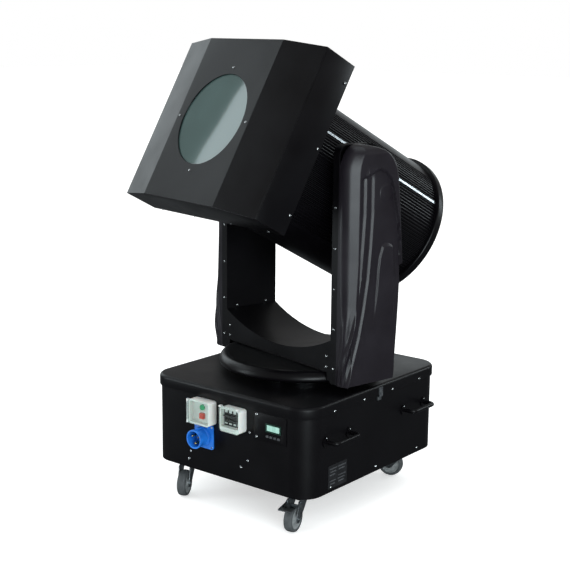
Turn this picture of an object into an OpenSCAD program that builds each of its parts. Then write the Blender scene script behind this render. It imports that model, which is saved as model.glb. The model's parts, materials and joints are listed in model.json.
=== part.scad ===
// Moving head searchlight: a castor base, a yoke that pans on it, and a head that tilts between the arms.
// Millimetres. +Z is up, the origin is on the pan axis at floor level, the control face looks along -Y.

/* [Base] */
// Width of the base, along X
base_w = 560; // [540:5:600]
// Depth of the base, along Y
base_d = 630; // [610:5:670]
// Height of the side walls, from the underside to the lid's lower rim
wall_h = 220; // [200:5:240]
// Height of the lid
lid_h = 32; // [28:1:40]
// Radius of the upright corners
corner_r = 60; // [50:1:70]
// Distance from the pan axis back to the centre of the base
base_shift = 10; // [5:1:15]
// Thickness of the sheet steel
sheet = 3; // [2.5:0.5:3.5]

/* [Castors] */
// Height of the castors, floor to base
castor_h = 105; // [104:1:112]
// Diameter of the wheels
wheel_d = 75; // [70:1:76]
// Width of the wheels
wheel_w = 25; // [22:1:28]
// Offset of the wheel axle from the swivel axis
castor_trail = 36; // [32:1:38]
// Swivel axis to base centre, along X
castor_x = 205; // [190:1:210]
// Swivel axis to base centre, along Y
castor_y = 250; // [230:1:255]

/* [Yoke] */
// Angle that the yoke is panned to as stored
pan_rest = -12.5; // [-20:0.5:20]
// Diameter of the turntable
turntable_d = 474; // [460:2:474]
// Gap between the two arms
arm_gap = 476; // [476:2:484]
// Depth of the arms, front to back
arm_d = 184; // [180:2:190]
// Width of the steel frame in each arm
frame_w = 24; // [22:1:28]
// Width of the moulded cover on each arm
cover_w = 46; // [46:1:52]
// Height of the tilt axis above the floor
tilt_z = 916; // [910:1:925]
// Height of the arm tops above the tilt axis
arm_top = 110; // [105:1:115]

/* [Head] */
// Elevation of the beam as stored
tilt_rest = 28.5; // [20:0.5:40]
// Width of the lamp head
head_w = 600; // [580:5:610]
// Height of the lamp head
head_h = 472; // [460:2:480]
// Width of the flat centre panel
panel_w = 320; // [300:5:340]
// Tilt axis to the front panel
head_front = 356; // [350:1:360]
// Depth of the slanted side panels
bevel_d = 34; // [30:1:40]
// Depth of the box behind them
side_d = 105; // [100:1:110]
// Diameter of the lens opening
lens_d = 262; // [240:2:270]
// Diameter of the ribbed drum, over its ribs
drum_d = 414; // [400:2:420]
// Tilt axis to the back of the drum's end ring
drum_back = 371; // [365:1:375]
// Diameter of the end ring
ring_d = 436; // [430:2:440]

/* [Hidden] */
$fn = 64;
// Clearances: running fit, gap between moving pieces, tiny overlap for cutting tools
fit = 0.05;
gap = 0.3;
cut = 1;

// Base levels
floor_z = castor_h;
floor_t = 4;
rim_z = floor_z + wall_h;
lid_z = rim_z + lid_h;
lid_lap = 5;
front_y = -base_shift - base_d / 2;
hull_fn = 64;

// Control face: each box is [left, bottom, width, height]
starter = [-112, 252, 76, 68];
breaker = [3, 254, 70, 66];
case_d = 31;
case_wall = 4;
plate_d = 14;
flap_t = 3;
hinge_off = 2.8;
barrel_r = 2.5;
pin_r = 1.1;
knuckle = 8;
starter_frame = [case_wall, case_wall];
breaker_frame = [case_wall, 12];
panel = [100, 244, 112, 76];
panel_t = 2;
button_x = [148, 161, 174, 187];
button_z = 260;
button_size = [8, 6];
display = [145, 275, 45, 17];
inlet_x = -80;
inlet_z = 212;
inlet_flange = 70;
shroud_r = 26.7;
shroud_bore = 22.5;
shroud_d = 46;
pin_ring = 13;
lever_up = 22;
clip_y = 8;

// Pan drive
ring_in = 75;
ring_out = 105;
bearing_h = 14;
disc_z = lid_z + 15;
disc_top = lid_z + 47;
shaft_r = 50;
pan_pulley_r = 120;
pan_pinion_r = 24;
pan_belt_z = lid_z - 37;
belt_w = 14;
belt_t = 2;
pan_motor_x = 178;
pan_motor_size = 86;

// Yoke
arm_in = arm_gap / 2;
arm_mid = arm_in + frame_w;
arm_out = arm_mid + cover_w;
arm_base = lid_z + 20;
saddle_z = lid_z + 84;
saddle_r = 530;
arch_z = lid_z + 55;
arch_r = 982;
boss_r = 42;
trunnion_r = 20;
tilt_pulley_r = 48;
tilt_pinion_r = 16;
tilt_belt_x = arm_out - 32;
tilt_belt_w = 10;
tilt_motor_z = 640;
tilt_motor_size = 60;
frame_screw_step = 110;

// Head
bevel_a = head_front - bevel_d;
box_back = bevel_a - side_d;
ring_w = 26;
drum_wall = 4;
rib_n = 144;
rib_h = 4;
reflector_rim = -130;
reflector_vertex = -300;
focal = 55;
reflector_t = 2;
fan_y = 318;
fan_r = 150;
blade_n = 7;
glass_r = lens_d / 2 + 9;
lens_ring_r = lens_d / 2 + 29;
lens_screw_r = 150;

// ---------- frames and shared shapes ----------

module in_base() { translate([0, -base_shift, 0]) children(); }
module in_yoke() { rotate([0, 0, pan_rest]) children(); }
module in_head() { in_yoke() translate([0, 0, tilt_z]) rotate([-tilt_rest, 0, 0]) children(); }
module both_sides() { children(); mirror([1, 0, 0]) children(); }

// Rounded rectangle, centred
module round_rect(w, d, r) {
  square([w - 2 * r, d], center = true);
  square([w, d - 2 * r], center = true);
  for (x = [-1, 1], y = [-1, 1]) translate([x * (w / 2 - r), y * (d / 2 - r)]) circle(r);
}

// Domed screw head standing on z = 0
module screw(r = 5) { rotate_extrude() polygon([[0, 0], [r, 0], [r, 1], [r * 0.7, 2.4], [0, 3]]); }

// Turn a piece that stands on z = 0 so that it stands out along a face's normal
module face_front() { rotate([90, 0, 0]) children(); }
module face_right() { rotate([0, 90, 0]) children(); }

// A box on the control face: x, z, width, height, standing out from "near" to "far"
module on_face(place, near, far) {
  translate([place[0], front_y - far, place[1]]) cube([place[2], far - near, place[3]]);
}

// Belt loop round two pulleys, the second "reach" along X
module belt_loop(r1, r2, reach, w) {
  module loop(extra) hull() {
    circle(r1 + extra);
    translate([reach, 0]) circle(r2 + extra);
  }
  linear_extrude(w) difference() { loop(gap + belt_t); loop(gap); }
}

// Toothed pulley blank with two flanges, standing on z = 0
module pulley(r, w, bore) {
  difference() {
    union() {
      cylinder(r = r, h = w);
      for (z = [-2, w]) translate([0, 0, z]) cylinder(r = r + 1.2, h = 2);
    }
    translate([0, 0, -2 - cut]) cylinder(r = bore, h = w + 4 + 2 * cut);
  }
}

// ---------- base ----------

module base_floor() {
  color("dimgray") in_base() translate([0, 0, floor_z]) linear_extrude(floor_t)
    difference() {
      round_rect(base_w, base_d, corner_r);
      for (x = [-60, 0, 60]) translate([x, 150]) square([14, 120], center = true);
    }
}

module base_shell() {
  color("black") difference() {
    in_base() translate([0, 0, floor_z + floor_t]) linear_extrude(wall_h + lid_h - 2 * floor_t - gap)
      difference() {
        round_rect(base_w, base_d, corner_r);
        round_rect(base_w - 2 * sheet, base_d - 2 * sheet, corner_r - sheet);
      }
    // Holes behind the control panel, the two switch boxes and the mains inlet
    translate([panel[0] + 8, front_y - cut, panel[1] + 6])
      cube([panel[2] - 16, sheet + 2 * cut, panel[3] - 14]);
    for (b = [starter, breaker]) translate([b[0] + b[2] / 2, front_y - cut, b[1] + 20])
      rotate([-90, 0, 0]) cylinder(r = 10, h = sheet + 2 * cut);
    translate([inlet_x, front_y - cut, inlet_z]) rotate([-90, 0, 0]) cylinder(r = 24, h = sheet + 2 * cut);
  }
}

module base_lid() {
  w = base_w + 2 * lid_lap;
  d = base_d + 2 * lid_lap;
  r = corner_r + lid_lap;
  inner = lid_lap - 0.5;
  module slab(inset, z, h) translate([0, 0, z]) linear_extrude(h)
    for (x = [-1, 1], y = [-1, 1]) translate([x * (w / 2 - r), y * (d / 2 - r)])
      circle(r - inset, $fn = hull_fn);
  color("black") difference() {
    in_base() difference() {
      hull() {
        slab(1.5, rim_z, cut);
        slab(0, rim_z + 2, lid_h - 12);
        slab(3, lid_z - 4, cut);
        slab(10, lid_z - 0.5, 0.5);
      }
      translate([0, 0, rim_z - cut]) linear_extrude(lid_h - floor_t + cut)
        round_rect(w - 2 * inner, d - 2 * inner, r - inner);
    }
    translate([0, 0, rim_z]) cylinder(r = shaft_r + 4, h = lid_h + cut);
  }
}

module control_panel() {
  color("darkslategray") difference() {
    on_face(panel, 0, panel_t);
    for (x = button_x) on_face([x - button_size[0] / 2 - gap, button_z - button_size[1] / 2 - gap,
      button_size[0] + 2 * gap, button_size[1] + 2 * gap], -cut, panel_t + cut);
  }
}

module display_window() { color("lightgreen") on_face(display, panel_t, panel_t + 1.2); }

module menu_button(n) {
  color("silver") on_face([button_x[n] - button_size[0] / 2, button_z - button_size[1] / 2,
    button_size[0], button_size[1]], -4, panel_t + 3);
}

// White back box of a switch enclosure; "frame" is the wall at the sides and at the bottom
module switch_case(place, frame, depth) {
  difference() {
    on_face(place, 0, case_d);
    on_face([place[0] + frame[0], place[1] + frame[1], place[2] - 2 * frame[0],
      place[3] - frame[1] - case_wall], depth, case_d + cut);
  }
}

// Hinges are drawn with the pin along Z and the lid reaching along +X; these two put them on the face
module at_left_hinge(place) {
  translate([place[0] - hinge_off, front_y - case_d - gap - flap_t / 2, place[1]]) children();
}
module at_top_hinge(place) {
  translate([place[0], front_y - case_d - gap - flap_t / 2, place[1] + place[3] + hinge_off])
    rotate([0, 90, 0]) children();
}

// The enclosure's half of a hinge: a knuckle at each end and the pin through them
module hinge_knuckles(len) {
  cylinder(r = pin_r, h = len);
  for (z = [0, len - knuckle]) translate([0, 0, z]) {
    cylinder(r = barrel_r, h = knuckle);
    translate([-barrel_r, 0, 0]) cube([2 * barrel_r, 6, knuckle]);
    translate([0, 2.5, 0]) cube([hinge_off + 1, 3.5, knuckle]);
  }
}

// Clear lid of a switch enclosure, with the barrel that turns on the pin
module switch_flap(reach, len) {
  mid = len - 2 * knuckle - 2 * gap;
  color("azure") difference() {
    union() {
      translate([hinge_off, -flap_t / 2, 0]) cube([reach, flap_t, len]);
      translate([0, 0, knuckle + gap]) cylinder(r = barrel_r, h = mid);
      translate([0, -flap_t / 2, knuckle + gap]) cube([hinge_off + 1, flap_t, mid]);
    }
    translate([0, 0, -cut]) cylinder(r = pin_r + fit, h = len + 2 * cut);
  }
}

module starter_box() {
  cx = starter[0] + starter[2] / 2;
  cz = starter[1] + starter[3] / 2;
  color("white") at_left_hinge(starter) hinge_knuckles(starter[3]);
  color("white") difference() {
    switch_case(starter, starter_frame, plate_d);
    translate([cx, front_y - plate_d - cut, cz + 12]) rotate([-90, 0, 0]) cylinder(r = 8 + gap, h = 9 + cut);
    on_face([cx - 8 - gap, cz - 20 - gap, 16 + 2 * gap, 16 + 2 * gap], plate_d - 9, plate_d + cut);
  }
}

module start_button() {
  color("limegreen") translate([starter[0] + starter[2] / 2, front_y - plate_d - 5, starter[1] + starter[3] / 2 + 12])
    rotate([-90, 0, 0]) cylinder(r = 8, h = 10);
}

module stop_button() {
  color("red") on_face([starter[0] + starter[2] / 2 - 8, starter[1] + starter[3] / 2 - 20, 16, 16],
    plate_d - 5, plate_d + 7);
}

module breaker_box() {
  color("white") switch_case(breaker, breaker_frame, 2);
  color("white") at_top_hinge(breaker) hinge_knuckles(breaker[2]);
}

// Breaker module in the case, with a slot for its ganged lever
block = [breaker[0] + case_wall + gap, breaker[1] + breaker_frame[1] + gap,
  breaker[2] - 2 * case_wall - 2 * gap, breaker[3] - breaker_frame[1] - case_wall - 2 * gap];
lever_z = block[1] + block[3] / 2;
module breaker_block() {
  color("gray") difference() {
    on_face(block, 2, plate_d + 3);
    on_face([block[0] + 4, lever_z - 8, block[2] - 8, 16], 5, plate_d + 4);
  }
}

// Ganged lever: a round pivot bar with a flat handle, thrown up
module breaker_lever() {
  x = block[0] + 4 + gap;
  w = block[2] - 8 - 2 * gap;
  color("black") translate([x, front_y - 11, lever_z]) rotate([-lever_up, 0, 0]) {
    rotate([0, 90, 0]) cylinder(r = 5, h = w);
    translate([0, -15, -2]) cube([w, 14, 4]);
  }
}

// Mains inlet: flange, round shroud with its key, and three moulded-in pins
module power_inlet() {
  color("dodgerblue") difference() {
    union() {
      on_face([inlet_x - inlet_flange / 2, inlet_z - inlet_flange / 2, inlet_flange, inlet_flange], 0, 4);
      translate([inlet_x, front_y, inlet_z]) rotate([90, 0, 0]) cylinder(r = shroud_r, h = shroud_d);
      on_face([inlet_x - 5, inlet_z + shroud_r - 2, 10, 5], 4, 34);
      translate([inlet_x, front_y + 25, inlet_z]) rotate([90, 0, 0]) cylinder(r = 22, h = 25);
    }
    translate([inlet_x, front_y - 12, inlet_z]) rotate([90, 0, 0]) cylinder(r = shroud_bore, h = shroud_d);
  }
  color("gold") for (a = [0 : 2]) translate([inlet_x, front_y - 40, inlet_z]) rotate([-90, 0, 0])
    rotate([0, 0, 90 + a * 120]) translate([pin_ring, 0, 0]) cylinder(r = a == 0 ? 3.5 : 2.5, h = 37);
}

// Round-bar grab handle standing out along +Z, its grip along X
module grab_handle(span = 104, out = 36, r = 6, bend = 12) {
  for (s = [-1, 1]) translate([s * span / 2, 0, 0]) {
    cylinder(r = 15, h = sheet);
    cylinder(r = r, h = out - bend);
    translate([0, 0, out - bend]) rotate([90, 0, s > 0 ? 180 : 0]) translate([bend, 0, 0])
      rotate([0, 0, 90]) rotate_extrude(angle = 90) translate([bend, 0]) circle(r);
  }
  translate([-span / 2 + bend, 0, out]) rotate([0, 90, 0]) cylinder(r = r, h = span - 2 * bend);
}

module grab_handles() {
  color("black") in_base() both_sides() for (y = [-182, 186])
    translate([base_w / 2, y, rim_z - 72]) rotate([0, 0, 90]) rotate([90, 0, 0]) rotate([0, 0, 180]) grab_handle();
}

module base_screws() {
  color("silver") {
    in_base() both_sides() {
      for (y = [-210, 0, 210]) translate([base_w / 2, y, floor_z + 14]) face_right() screw(4);
      for (y = [-204, -68, 68, 204]) translate([base_w / 2 + lid_lap, y, rim_z + 6]) face_right() screw(4);
      for (y = [-182, 186], s = [-1, 1])
        translate([base_w / 2 + sheet, y + s * 52, rim_z - 72 + 10]) face_right() screw(2.5);
    }
    for (p = [[110, 314], [110, 252]])
      translate([p[0], front_y - panel_t, p[1]]) face_front() screw(4);
    for (p = [[84, 256], [78, 175], [53, 151], [-133, 155], [-140, 131]])
      translate([p[0], front_y, p[1]]) face_front() screw(4);
    for (x = [-1, 1], z = [-1, 1]) translate([inlet_x + x * 29, front_y - 4, inlet_z + z * 29]) face_front() screw(3);
  }
}

// Strap over the lid's edge, with its free end against the wall
module lid_strap() {
  side = base_w / 2 + lid_lap;
  color("silver") in_base() {
    translate([side, clip_y - 9, rim_z + 1]) cube([2, 18, lid_h - 8]);
    translate([base_w / 2, clip_y - 9, rim_z - 13]) cube([2, 18, 12.7]);
    translate([base_w / 2, clip_y - 9, rim_z - 2]) cube([lid_lap + 2, 18, 1.7]);
    translate([side, clip_y - 9, rim_z - 2]) cube([2, 18, 4]);
  }
}

// Steel case of the lamp's power supply, with cooling fins on one side
module lamp_ballast() {
  color("slategray") in_base() translate([-190, -150, floor_z + floor_t]) {
    difference() {
      cube([200, 250, 120]);
      translate([sheet, sheet, -cut]) cube([200 - 2 * sheet, 250 - 2 * sheet, 120 - sheet + cut]);
    }
    for (i = [0 : 7]) translate([-8, 12 + i * 30, 15]) cube([8.5, 12, 90]);
  }
}

// ---------- castors ----------

// Castors 1 to 4: front right, front left, back right, back left, each with its resting heading
castor_at = [[castor_x, -castor_y, 12], [-castor_x, -castor_y, 25], [castor_x, castor_y, -75], [-castor_x, castor_y, 40]];
axle_z = wheel_d / 2;
axle_r = 4;
leg_in = wheel_w / 2 + 2.5;
leg_t = 2.5;
race_z = castor_h - 11;
brake_y = -30;
brake_z = race_z - 12;
module at_castor(n) { in_base() translate([castor_at[n][0], castor_at[n][1], 0]) children(); }
module in_castor(n) { at_castor(n) rotate([0, 0, castor_at[n][2]]) children(); }

module castor_plates() {
  color("silver") for (n = [0 : 3]) at_castor(n) {
    difference() {
      translate([-42, -32, castor_h - 3]) cube([84, 64, 3]);
      for (x = [-30, 30], y = [-22, 22]) translate([x, y, castor_h - 4]) cylinder(r = 4.25, h = 5);
    }
    translate([0, 0, race_z]) cylinder(r = 24, h = 8.5);
    translate([0, 0, race_z - 12]) cylinder(r = 6, h = 14);
    translate([0, 0, race_z - 16]) cylinder(r = 9, h = 4);
  }
}

module castor_fork(n) {
  color("silver") in_castor(n) {
    difference() {
      translate([0, 0, race_z - 10]) cylinder(r = 24, h = 10 - gap);
      translate([0, 0, race_z - 11]) cylinder(r = 6 + fit, h = 12);
      translate([0, 0, race_z - 11]) cylinder(r = 9 + gap, h = 3);
    }
    both_sides() translate([leg_in, 0, 0]) rotate([90, 0, 90]) linear_extrude(leg_t) {
      polygon([[-20, race_z - 4], [18, race_z - 4], [18, race_z - 14], [-castor_trail + 11, axle_z - 5],
        [-castor_trail - 11, axle_z + 4], [-castor_trail - 1, race_z - 18], [-castor_trail - 1, race_z - 9]]);
      translate([-castor_trail, axle_z]) circle(12);
    }
    translate([-leg_in - leg_t - 3, -castor_trail, axle_z]) rotate([0, 90, 0])
      cylinder(r = axle_r, h = 2 * (leg_in + leg_t + 3));
    if (n == 0) for (s = [-1, 1]) translate([s * (leg_in + 3.5) - 3.5, brake_y, brake_z]) rotate([0, 90, 0])
      cylinder(r = 2.5, h = 7);
  }
}

module castor_wheel(n) {
  half = wheel_w / 2;
  rim = wheel_d / 2;
  color("gray") in_castor(n) translate([0, -castor_trail, axle_z]) rotate([0, 90, 0]) rotate_extrude()
    polygon([[axle_r + fit, -leg_in + gap], [11, -leg_in + gap], [12, -half + 4], [rim - 9, -half + 4],
      [rim - 8, -half], [rim - 3, -half + 1], [rim - 0.8, -half + 5], [rim, -2.5], [rim, 2.5],
      [rim - 0.8, half - 5], [rim - 3, half - 1], [rim - 8, half], [rim - 9, half - 4], [12, half - 4],
      [11, leg_in - gap], [axle_r + fit, leg_in - gap]]);
}

// Foot brake: a pressed tread plate on two ears that turn on the fork's side pins
module castor_brake() {
  ear = leg_in + leg_t + gap;
  color("silver") in_castor(0) difference() {
    union() {
      both_sides() translate([ear, 0, 0]) rotate([90, 0, 90]) linear_extrude(2.5) {
        translate([brake_y, brake_z]) circle(6);
        polygon([[brake_y, brake_z + 5], [brake_y, brake_z - 5], [-84, 72], [-84, 78]]);
      }
      translate([-ear - 2.5, 0, 0]) rotate([90, 0, 90]) linear_extrude(2 * ear + 5)
        polygon([[-44, 78], [-88, 73], [-88, 76], [-44, 81]]);
    }
    translate([-ear - 4, brake_y, brake_z]) rotate([0, 90, 0]) cylinder(r = 2.5 + fit, h = 2 * ear + 8);
  }
}

// ---------- pan drive ----------

module pan_bearing() {
  color("silver") translate([0, 0, lid_z]) difference() {
    cylinder(r = ring_out, h = bearing_h);
    translate([0, 0, -cut]) cylinder(r = ring_in + fit, h = bearing_h + 2 * cut);
  }
}

// Dished turntable: a thin skin over a hub that turns in the bearing, and a hollow shaft below
module turntable() {
  r = turntable_d / 2;
  color("black") difference() {
    union() {
      rotate_extrude() polygon([[0, disc_z], [r - 14, disc_z], [r - 6, disc_z + 2], [r, disc_z + 7],
        [r - 1, disc_z + 12], [r - 8, disc_top - 3], [r - 13, disc_top], [0, disc_top]]);
      translate([0, 0, lid_z + gap]) cylinder(r = ring_in, h = disc_z - lid_z);
      translate([0, 0, pan_belt_z - 4]) cylinder(r = shaft_r, h = disc_z - pan_belt_z + 4);
    }
    translate([0, 0, pan_belt_z - 5]) cylinder(r = shaft_r - 8, h = disc_top - pan_belt_z + 6);
    translate([0, 0, disc_z - cut]) difference() {
      cylinder(r = r - 16, h = disc_top - disc_z - 4 + cut);
      translate([0, 0, -cut]) cylinder(r = ring_in + 20, h = disc_top);
      for (a = [0 : 5]) rotate([0, 0, a * 60]) translate([ring_in, -3, 4]) cube([r - ring_in, 6, disc_top]);
    }
  }
}

module pan_pulley() {
  color("silver") in_yoke() translate([0, 0, pan_belt_z]) difference() {
    pulley(pan_pulley_r, belt_w, shaft_r);
    for (a = [0 : 5]) rotate([0, 0, a * 60]) translate([84, 0, -4]) cylinder(r = 20, h = belt_w + 8);
  }
}

module pan_motor() {
  h = 80;
  top = pan_belt_z - 6;
  color("dimgray") translate([pan_motor_x, 0, 0]) {
    translate([-pan_motor_size / 2, -pan_motor_size / 2, top - h]) cube([pan_motor_size, pan_motor_size, h]);
    translate([0, 0, top]) cylinder(r = 7, h = belt_w + 14);
    for (y = [-1, 1]) translate([18, y * 36, top]) cylinder(r = 5, h = lid_z - floor_t - top);
  }
}

module pan_pinion() {
  color("silver") translate([pan_motor_x, 0, pan_belt_z]) pulley(pan_pinion_r, belt_w, 7 + fit);
}

module pan_belt() {
  color("black") translate([0, 0, pan_belt_z + 1]) belt_loop(pan_pulley_r, pan_pinion_r, pan_motor_x, belt_w - 2);
}

// ---------- yoke ----------

// Front view of the bridge: a saddle above, an arch over the turntable below
module bridge_face() {
  difference() {
    translate([-arm_in, arm_base]) square([arm_gap, 130]);
    translate([0, saddle_z + saddle_r]) circle(saddle_r, $fn = 256);
    translate([0, arch_z - arch_r]) circle(arch_r, $fn = 512);
    translate([-arm_in + 14, arm_base - cut]) square([arm_gap - 28, disc_top - arm_base + 2 + cut]);
  }
}

module yoke_bridge() {
  half = arm_d / 2;
  color("black") in_yoke() {
    for (y = [-half + sheet, half]) translate([0, y, 0]) rotate([90, 0, 0]) linear_extrude(sheet) bridge_face();
    translate([0, half - sheet, 0]) rotate([90, 0, 0]) linear_extrude(arm_d - 2 * sheet) difference() {
      intersection() {
        translate([-arm_in, arm_base + 30]) square([arm_gap, 100]);
        translate([0, saddle_z + saddle_r]) circle(saddle_r + sheet, $fn = 256);
      }
      translate([0, saddle_z + saddle_r]) circle(saddle_r, $fn = 256);
    }
    translate([-arm_in + 25, -half + sheet, disc_top]) cube([arm_gap - 50, arm_d - 2 * sheet, 9]);
    both_sides() translate([arm_in - sheet, -half + sheet, disc_top + 6]) cube([sheet, arm_d - 2 * sheet, 80]);
  }
}

// Side view of an arm, Y across and Z up, drawn inside the outline by "inset"
module arm_side(inset = 0, bulge = 20) {
  half = arm_d / 2;
  top = tilt_z + arm_top;
  hull() {
    translate([-half + inset, arm_base + inset]) square([arm_d - 2 * inset, 10]);
    translate([-half + 28, top - 28]) circle(28 - inset, $fn = hull_fn);
    translate([half - 90, top - 84]) circle(84 - inset, $fn = hull_fn);
    translate([half + bulge - 60, 650]) circle(60 - inset, $fn = hull_fn);
  }
}

// Steel frame of the right arm: an inner wall and a rim, with the tilt bearing's housing
module arm_frame() {
  color("black") in_yoke() difference() {
    union() {
      translate([arm_in, 0, 0]) rotate([90, 0, 90]) linear_extrude(frame_w) difference() {
        arm_side(0, 0);
        arm_side(sheet, 0);
      }
      translate([arm_in, 0, 0]) rotate([90, 0, 90]) linear_extrude(sheet) arm_side(1, 0);
      translate([arm_in, 0, tilt_z]) rotate([0, 90, 0]) cylinder(r = boss_r, h = frame_w - 4);
    }
    translate([arm_in - cut, 0, tilt_z]) rotate([0, 90, 0]) cylinder(r = trunnion_r + fit, h = frame_w + 2 * cut);
  }
}

// Moulded cover of the right arm: a thin shell with softened outer edges
module arm_cover() {
  module layer(inset, x) translate([x, 0, 0]) rotate([90, 0, 90]) linear_extrude(0.5) arm_side(inset);
  color("black") in_yoke() difference() {
    hull() {
      layer(0, arm_mid);
      layer(0, arm_out - 26);
      layer(8, arm_out - 9);
      layer(24, arm_out - 0.5);
    }
    hull() {
      layer(sheet, arm_mid - 0.6);
      layer(sheet, arm_out - 28);
      layer(11, arm_out - 12);
      layer(27, arm_out - 4);
    }
  }
}

module left_arm_frame() { rotate([0, 0, pan_rest]) mirror([1, 0, 0]) rotate([0, 0, -pan_rest]) arm_frame(); }
module left_arm_cover() { rotate([0, 0, pan_rest]) mirror([1, 0, 0]) rotate([0, 0, -pan_rest]) arm_cover(); }
module right_arm_frame() { arm_frame(); }
module right_arm_cover() { arm_cover(); }

module tilt_motor() {
  s = tilt_motor_size;
  face_x = tilt_belt_x - 4;
  color("dimgray") in_yoke() {
    translate([arm_in + sheet, -s / 2, tilt_motor_z - s / 2]) cube([face_x - arm_in - sheet, s, s]);
    translate([face_x, 0, tilt_motor_z]) rotate([0, 90, 0]) cylinder(r = 5, h = tilt_belt_w + 7);
  }
}

module tilt_pinion() {
  color("silver") in_yoke() translate([tilt_belt_x, 0, tilt_motor_z]) rotate([0, 90, 0])
    pulley(tilt_pinion_r, tilt_belt_w, 5 + fit);
}

module tilt_belt() {
  color("black") in_yoke() translate([tilt_belt_x + 1, 0, tilt_z]) rotate([0, 90, 0])
    belt_loop(tilt_pulley_r, tilt_pinion_r, tilt_z - tilt_motor_z, tilt_belt_w - 2);
}

module yoke_screws() {
  half = arm_d / 2;
  color("silver") in_yoke() both_sides() {
    for (y = [-1, 1], i = [0 : 4]) scale([1, y, 1])
      translate([arm_in + 12, -half, arm_base + 43 + i * frame_screw_step]) face_front() screw(4);
    for (y = [-1, 1], z = [43, 73]) scale([1, y, 1])
      translate([arm_in - 16, -half, arm_base + z]) face_front() screw(4);
    for (y = [-54, 54]) translate([arm_in, y, arm_base + 128]) rotate([0, -90, 0]) screw(4);
  }
}

// ---------- head ----------

// Plan of the head box as seen along its height: X across, Y towards the back, inset all round
module head_plan(inset, front) {
  hw = head_w / 2 - inset;
  pw = panel_w / 2 - inset * 0.2;
  polygon([[-hw, -box_back - inset], [hw, -box_back - inset], [hw, -bevel_a + sheet - front],
    [pw, -head_front + sheet - front], [-pw, -head_front + sheet - front], [-hw, -bevel_a + sheet - front]]);
}

module head_box() {
  color("black") in_head() difference() {
    translate([0, 0, -head_h / 2]) linear_extrude(head_h) head_plan(0, 0);
    translate([0, 0, -head_h / 2 + sheet]) linear_extrude(head_h - 2 * sheet) head_plan(sheet, 2 * sheet);
    translate([0, -box_back + cut, 0]) rotate([90, 0, 0]) cylinder(r = drum_d / 2 - 20, h = 2 * sheet);
  }
}

module front_panel() {
  hw = head_w / 2;
  pw = panel_w / 2;
  f = head_front;
  b = bevel_a;
  color("black") in_head() difference() {
    translate([0, 0, -head_h / 2]) linear_extrude(head_h)
      polygon([[-hw, -b + sheet], [-hw, -b], [-pw, -f], [pw, -f], [hw, -b], [hw, -b + sheet],
        [pw, -f + sheet], [-pw, -f + sheet]]);
    translate([0, -f + 2 * sheet, 0]) rotate([90, 0, 0]) cylinder(r = lens_d / 2, h = 3 * sheet);
  }
}

module lens_ring() {
  color("dimgray") in_head() translate([0, -head_front + sheet, 0]) rotate([-90, 0, 0]) difference() {
    cylinder(r = lens_ring_r, h = 11);
    translate([0, 0, -cut]) cylinder(r = glass_r, h = 7 + cut);
    translate([0, 0, -cut]) cylinder(r = lens_d / 2 + 2, h = 13);
  }
}

module lens_glass() {
  color("lightcyan") in_head() translate([0, -head_front + sheet, 0]) rotate([-90, 0, 0]) cylinder(r = glass_r, h = 7);
}

// Ribbed outline of the drum's extrusion
module drum_outline() {
  r = drum_d / 2;
  step = 360 / rib_n;
  polygon([for (i = [0 : rib_n - 1]) for (p = [[-0.16, r - rib_h], [-0.12, r], [0.12, r], [0.16, r - rib_h]])
    p[1] * [cos((i + p[0] * 2) * step), sin((i + p[0] * 2) * step)]]);
}

module drum() {
  length = box_back + drum_back - ring_w;
  color("black") in_head() difference() {
    union() {
      translate([0, -box_back, 0]) rotate([-90, 0, 0]) linear_extrude(length) drum_outline();
      translate([-drum_d / 2 - 5, -45, -45]) cube([drum_d + 10, 90, 90]);
    }
    translate([0, -box_back - cut, 0]) rotate([-90, 0, 0])
      cylinder(r = drum_d / 2 - rib_h - drum_wall, h = length + 2 * cut, $fn = 360);
    translate([-head_w / 2, 0, 0]) rotate([0, 90, 0]) cylinder(r = trunnion_r, h = head_w, $fn = 128);
  }
}

module rear_ring() {
  color("black") in_head() translate([0, drum_back - ring_w, 0]) rotate([-90, 0, 0]) rotate_extrude()
    polygon([[drum_d / 2 - 22, 0], [ring_d / 2 - 2, 0], [ring_d / 2, 2], [ring_d / 2, ring_w - 4],
      [ring_d / 2 - 4, ring_w], [drum_d / 2 - 12, ring_w], [drum_d / 2 - 12, ring_w - 8],
      [drum_d / 2 - 22, ring_w - 8]]);
}

// Back plate in the end ring, slotted for the fan's air, with the fan's spindle
module rear_cover() {
  plate_y = drum_back - 8;
  color("dimgray") in_head() translate([0, plate_y, 0]) rotate([-90, 0, 0]) {
    difference() {
      cylinder(r = drum_d / 2 - 12, h = 4);
      for (i = [-5 : 5]) let (w = sqrt(pow(fan_r, 2) - pow(i * 24, 2)))
        translate([-w, i * 24 - 4, -cut]) cube([2 * w, 8, 6]);
    }
    translate([0, 0, -8]) cylinder(r = 30, h = 12);
    translate([0, 0, fan_y + 2 - plate_y]) cylinder(r = 4, h = plate_y - fan_y);
  }
}

module fan_rotor() {
  color("gray") in_head() translate([0, fan_y, 0]) rotate([-90, 0, 0]) difference() {
    union() {
      cylinder(r = 34, h = 24);
      for (a = [0 : blade_n - 1]) rotate([0, 0, a * 360 / blade_n]) translate([30, 0, 12])
        rotate([32, 0, 0]) translate([0, -24, -1.5]) cube([fan_r - 32, 48, 3]);
    }
    translate([0, 0, -cut]) cylinder(r = 4 + fit, h = 26);
  }
}

// Parabolic mirror: the wall follows r = 2 sqrt(focal x depth)
module reflector() {
  depth = reflector_rim - reflector_vertex;
  steps = 14;
  neck = 1.5;
  inner = [for (i = [0 : steps]) let (d = neck + (depth - neck) * i / steps) [2 * sqrt(focal * d), d]];
  outer = [for (i = [steps : -1 : 0]) [inner[i][0] + reflector_t, inner[i][1] - reflector_t]];
  color("gainsboro") in_head() translate([0, -reflector_vertex, 0]) rotate([90, 0, 0]) rotate_extrude()
    polygon(concat(inner, outer));
}

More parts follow.
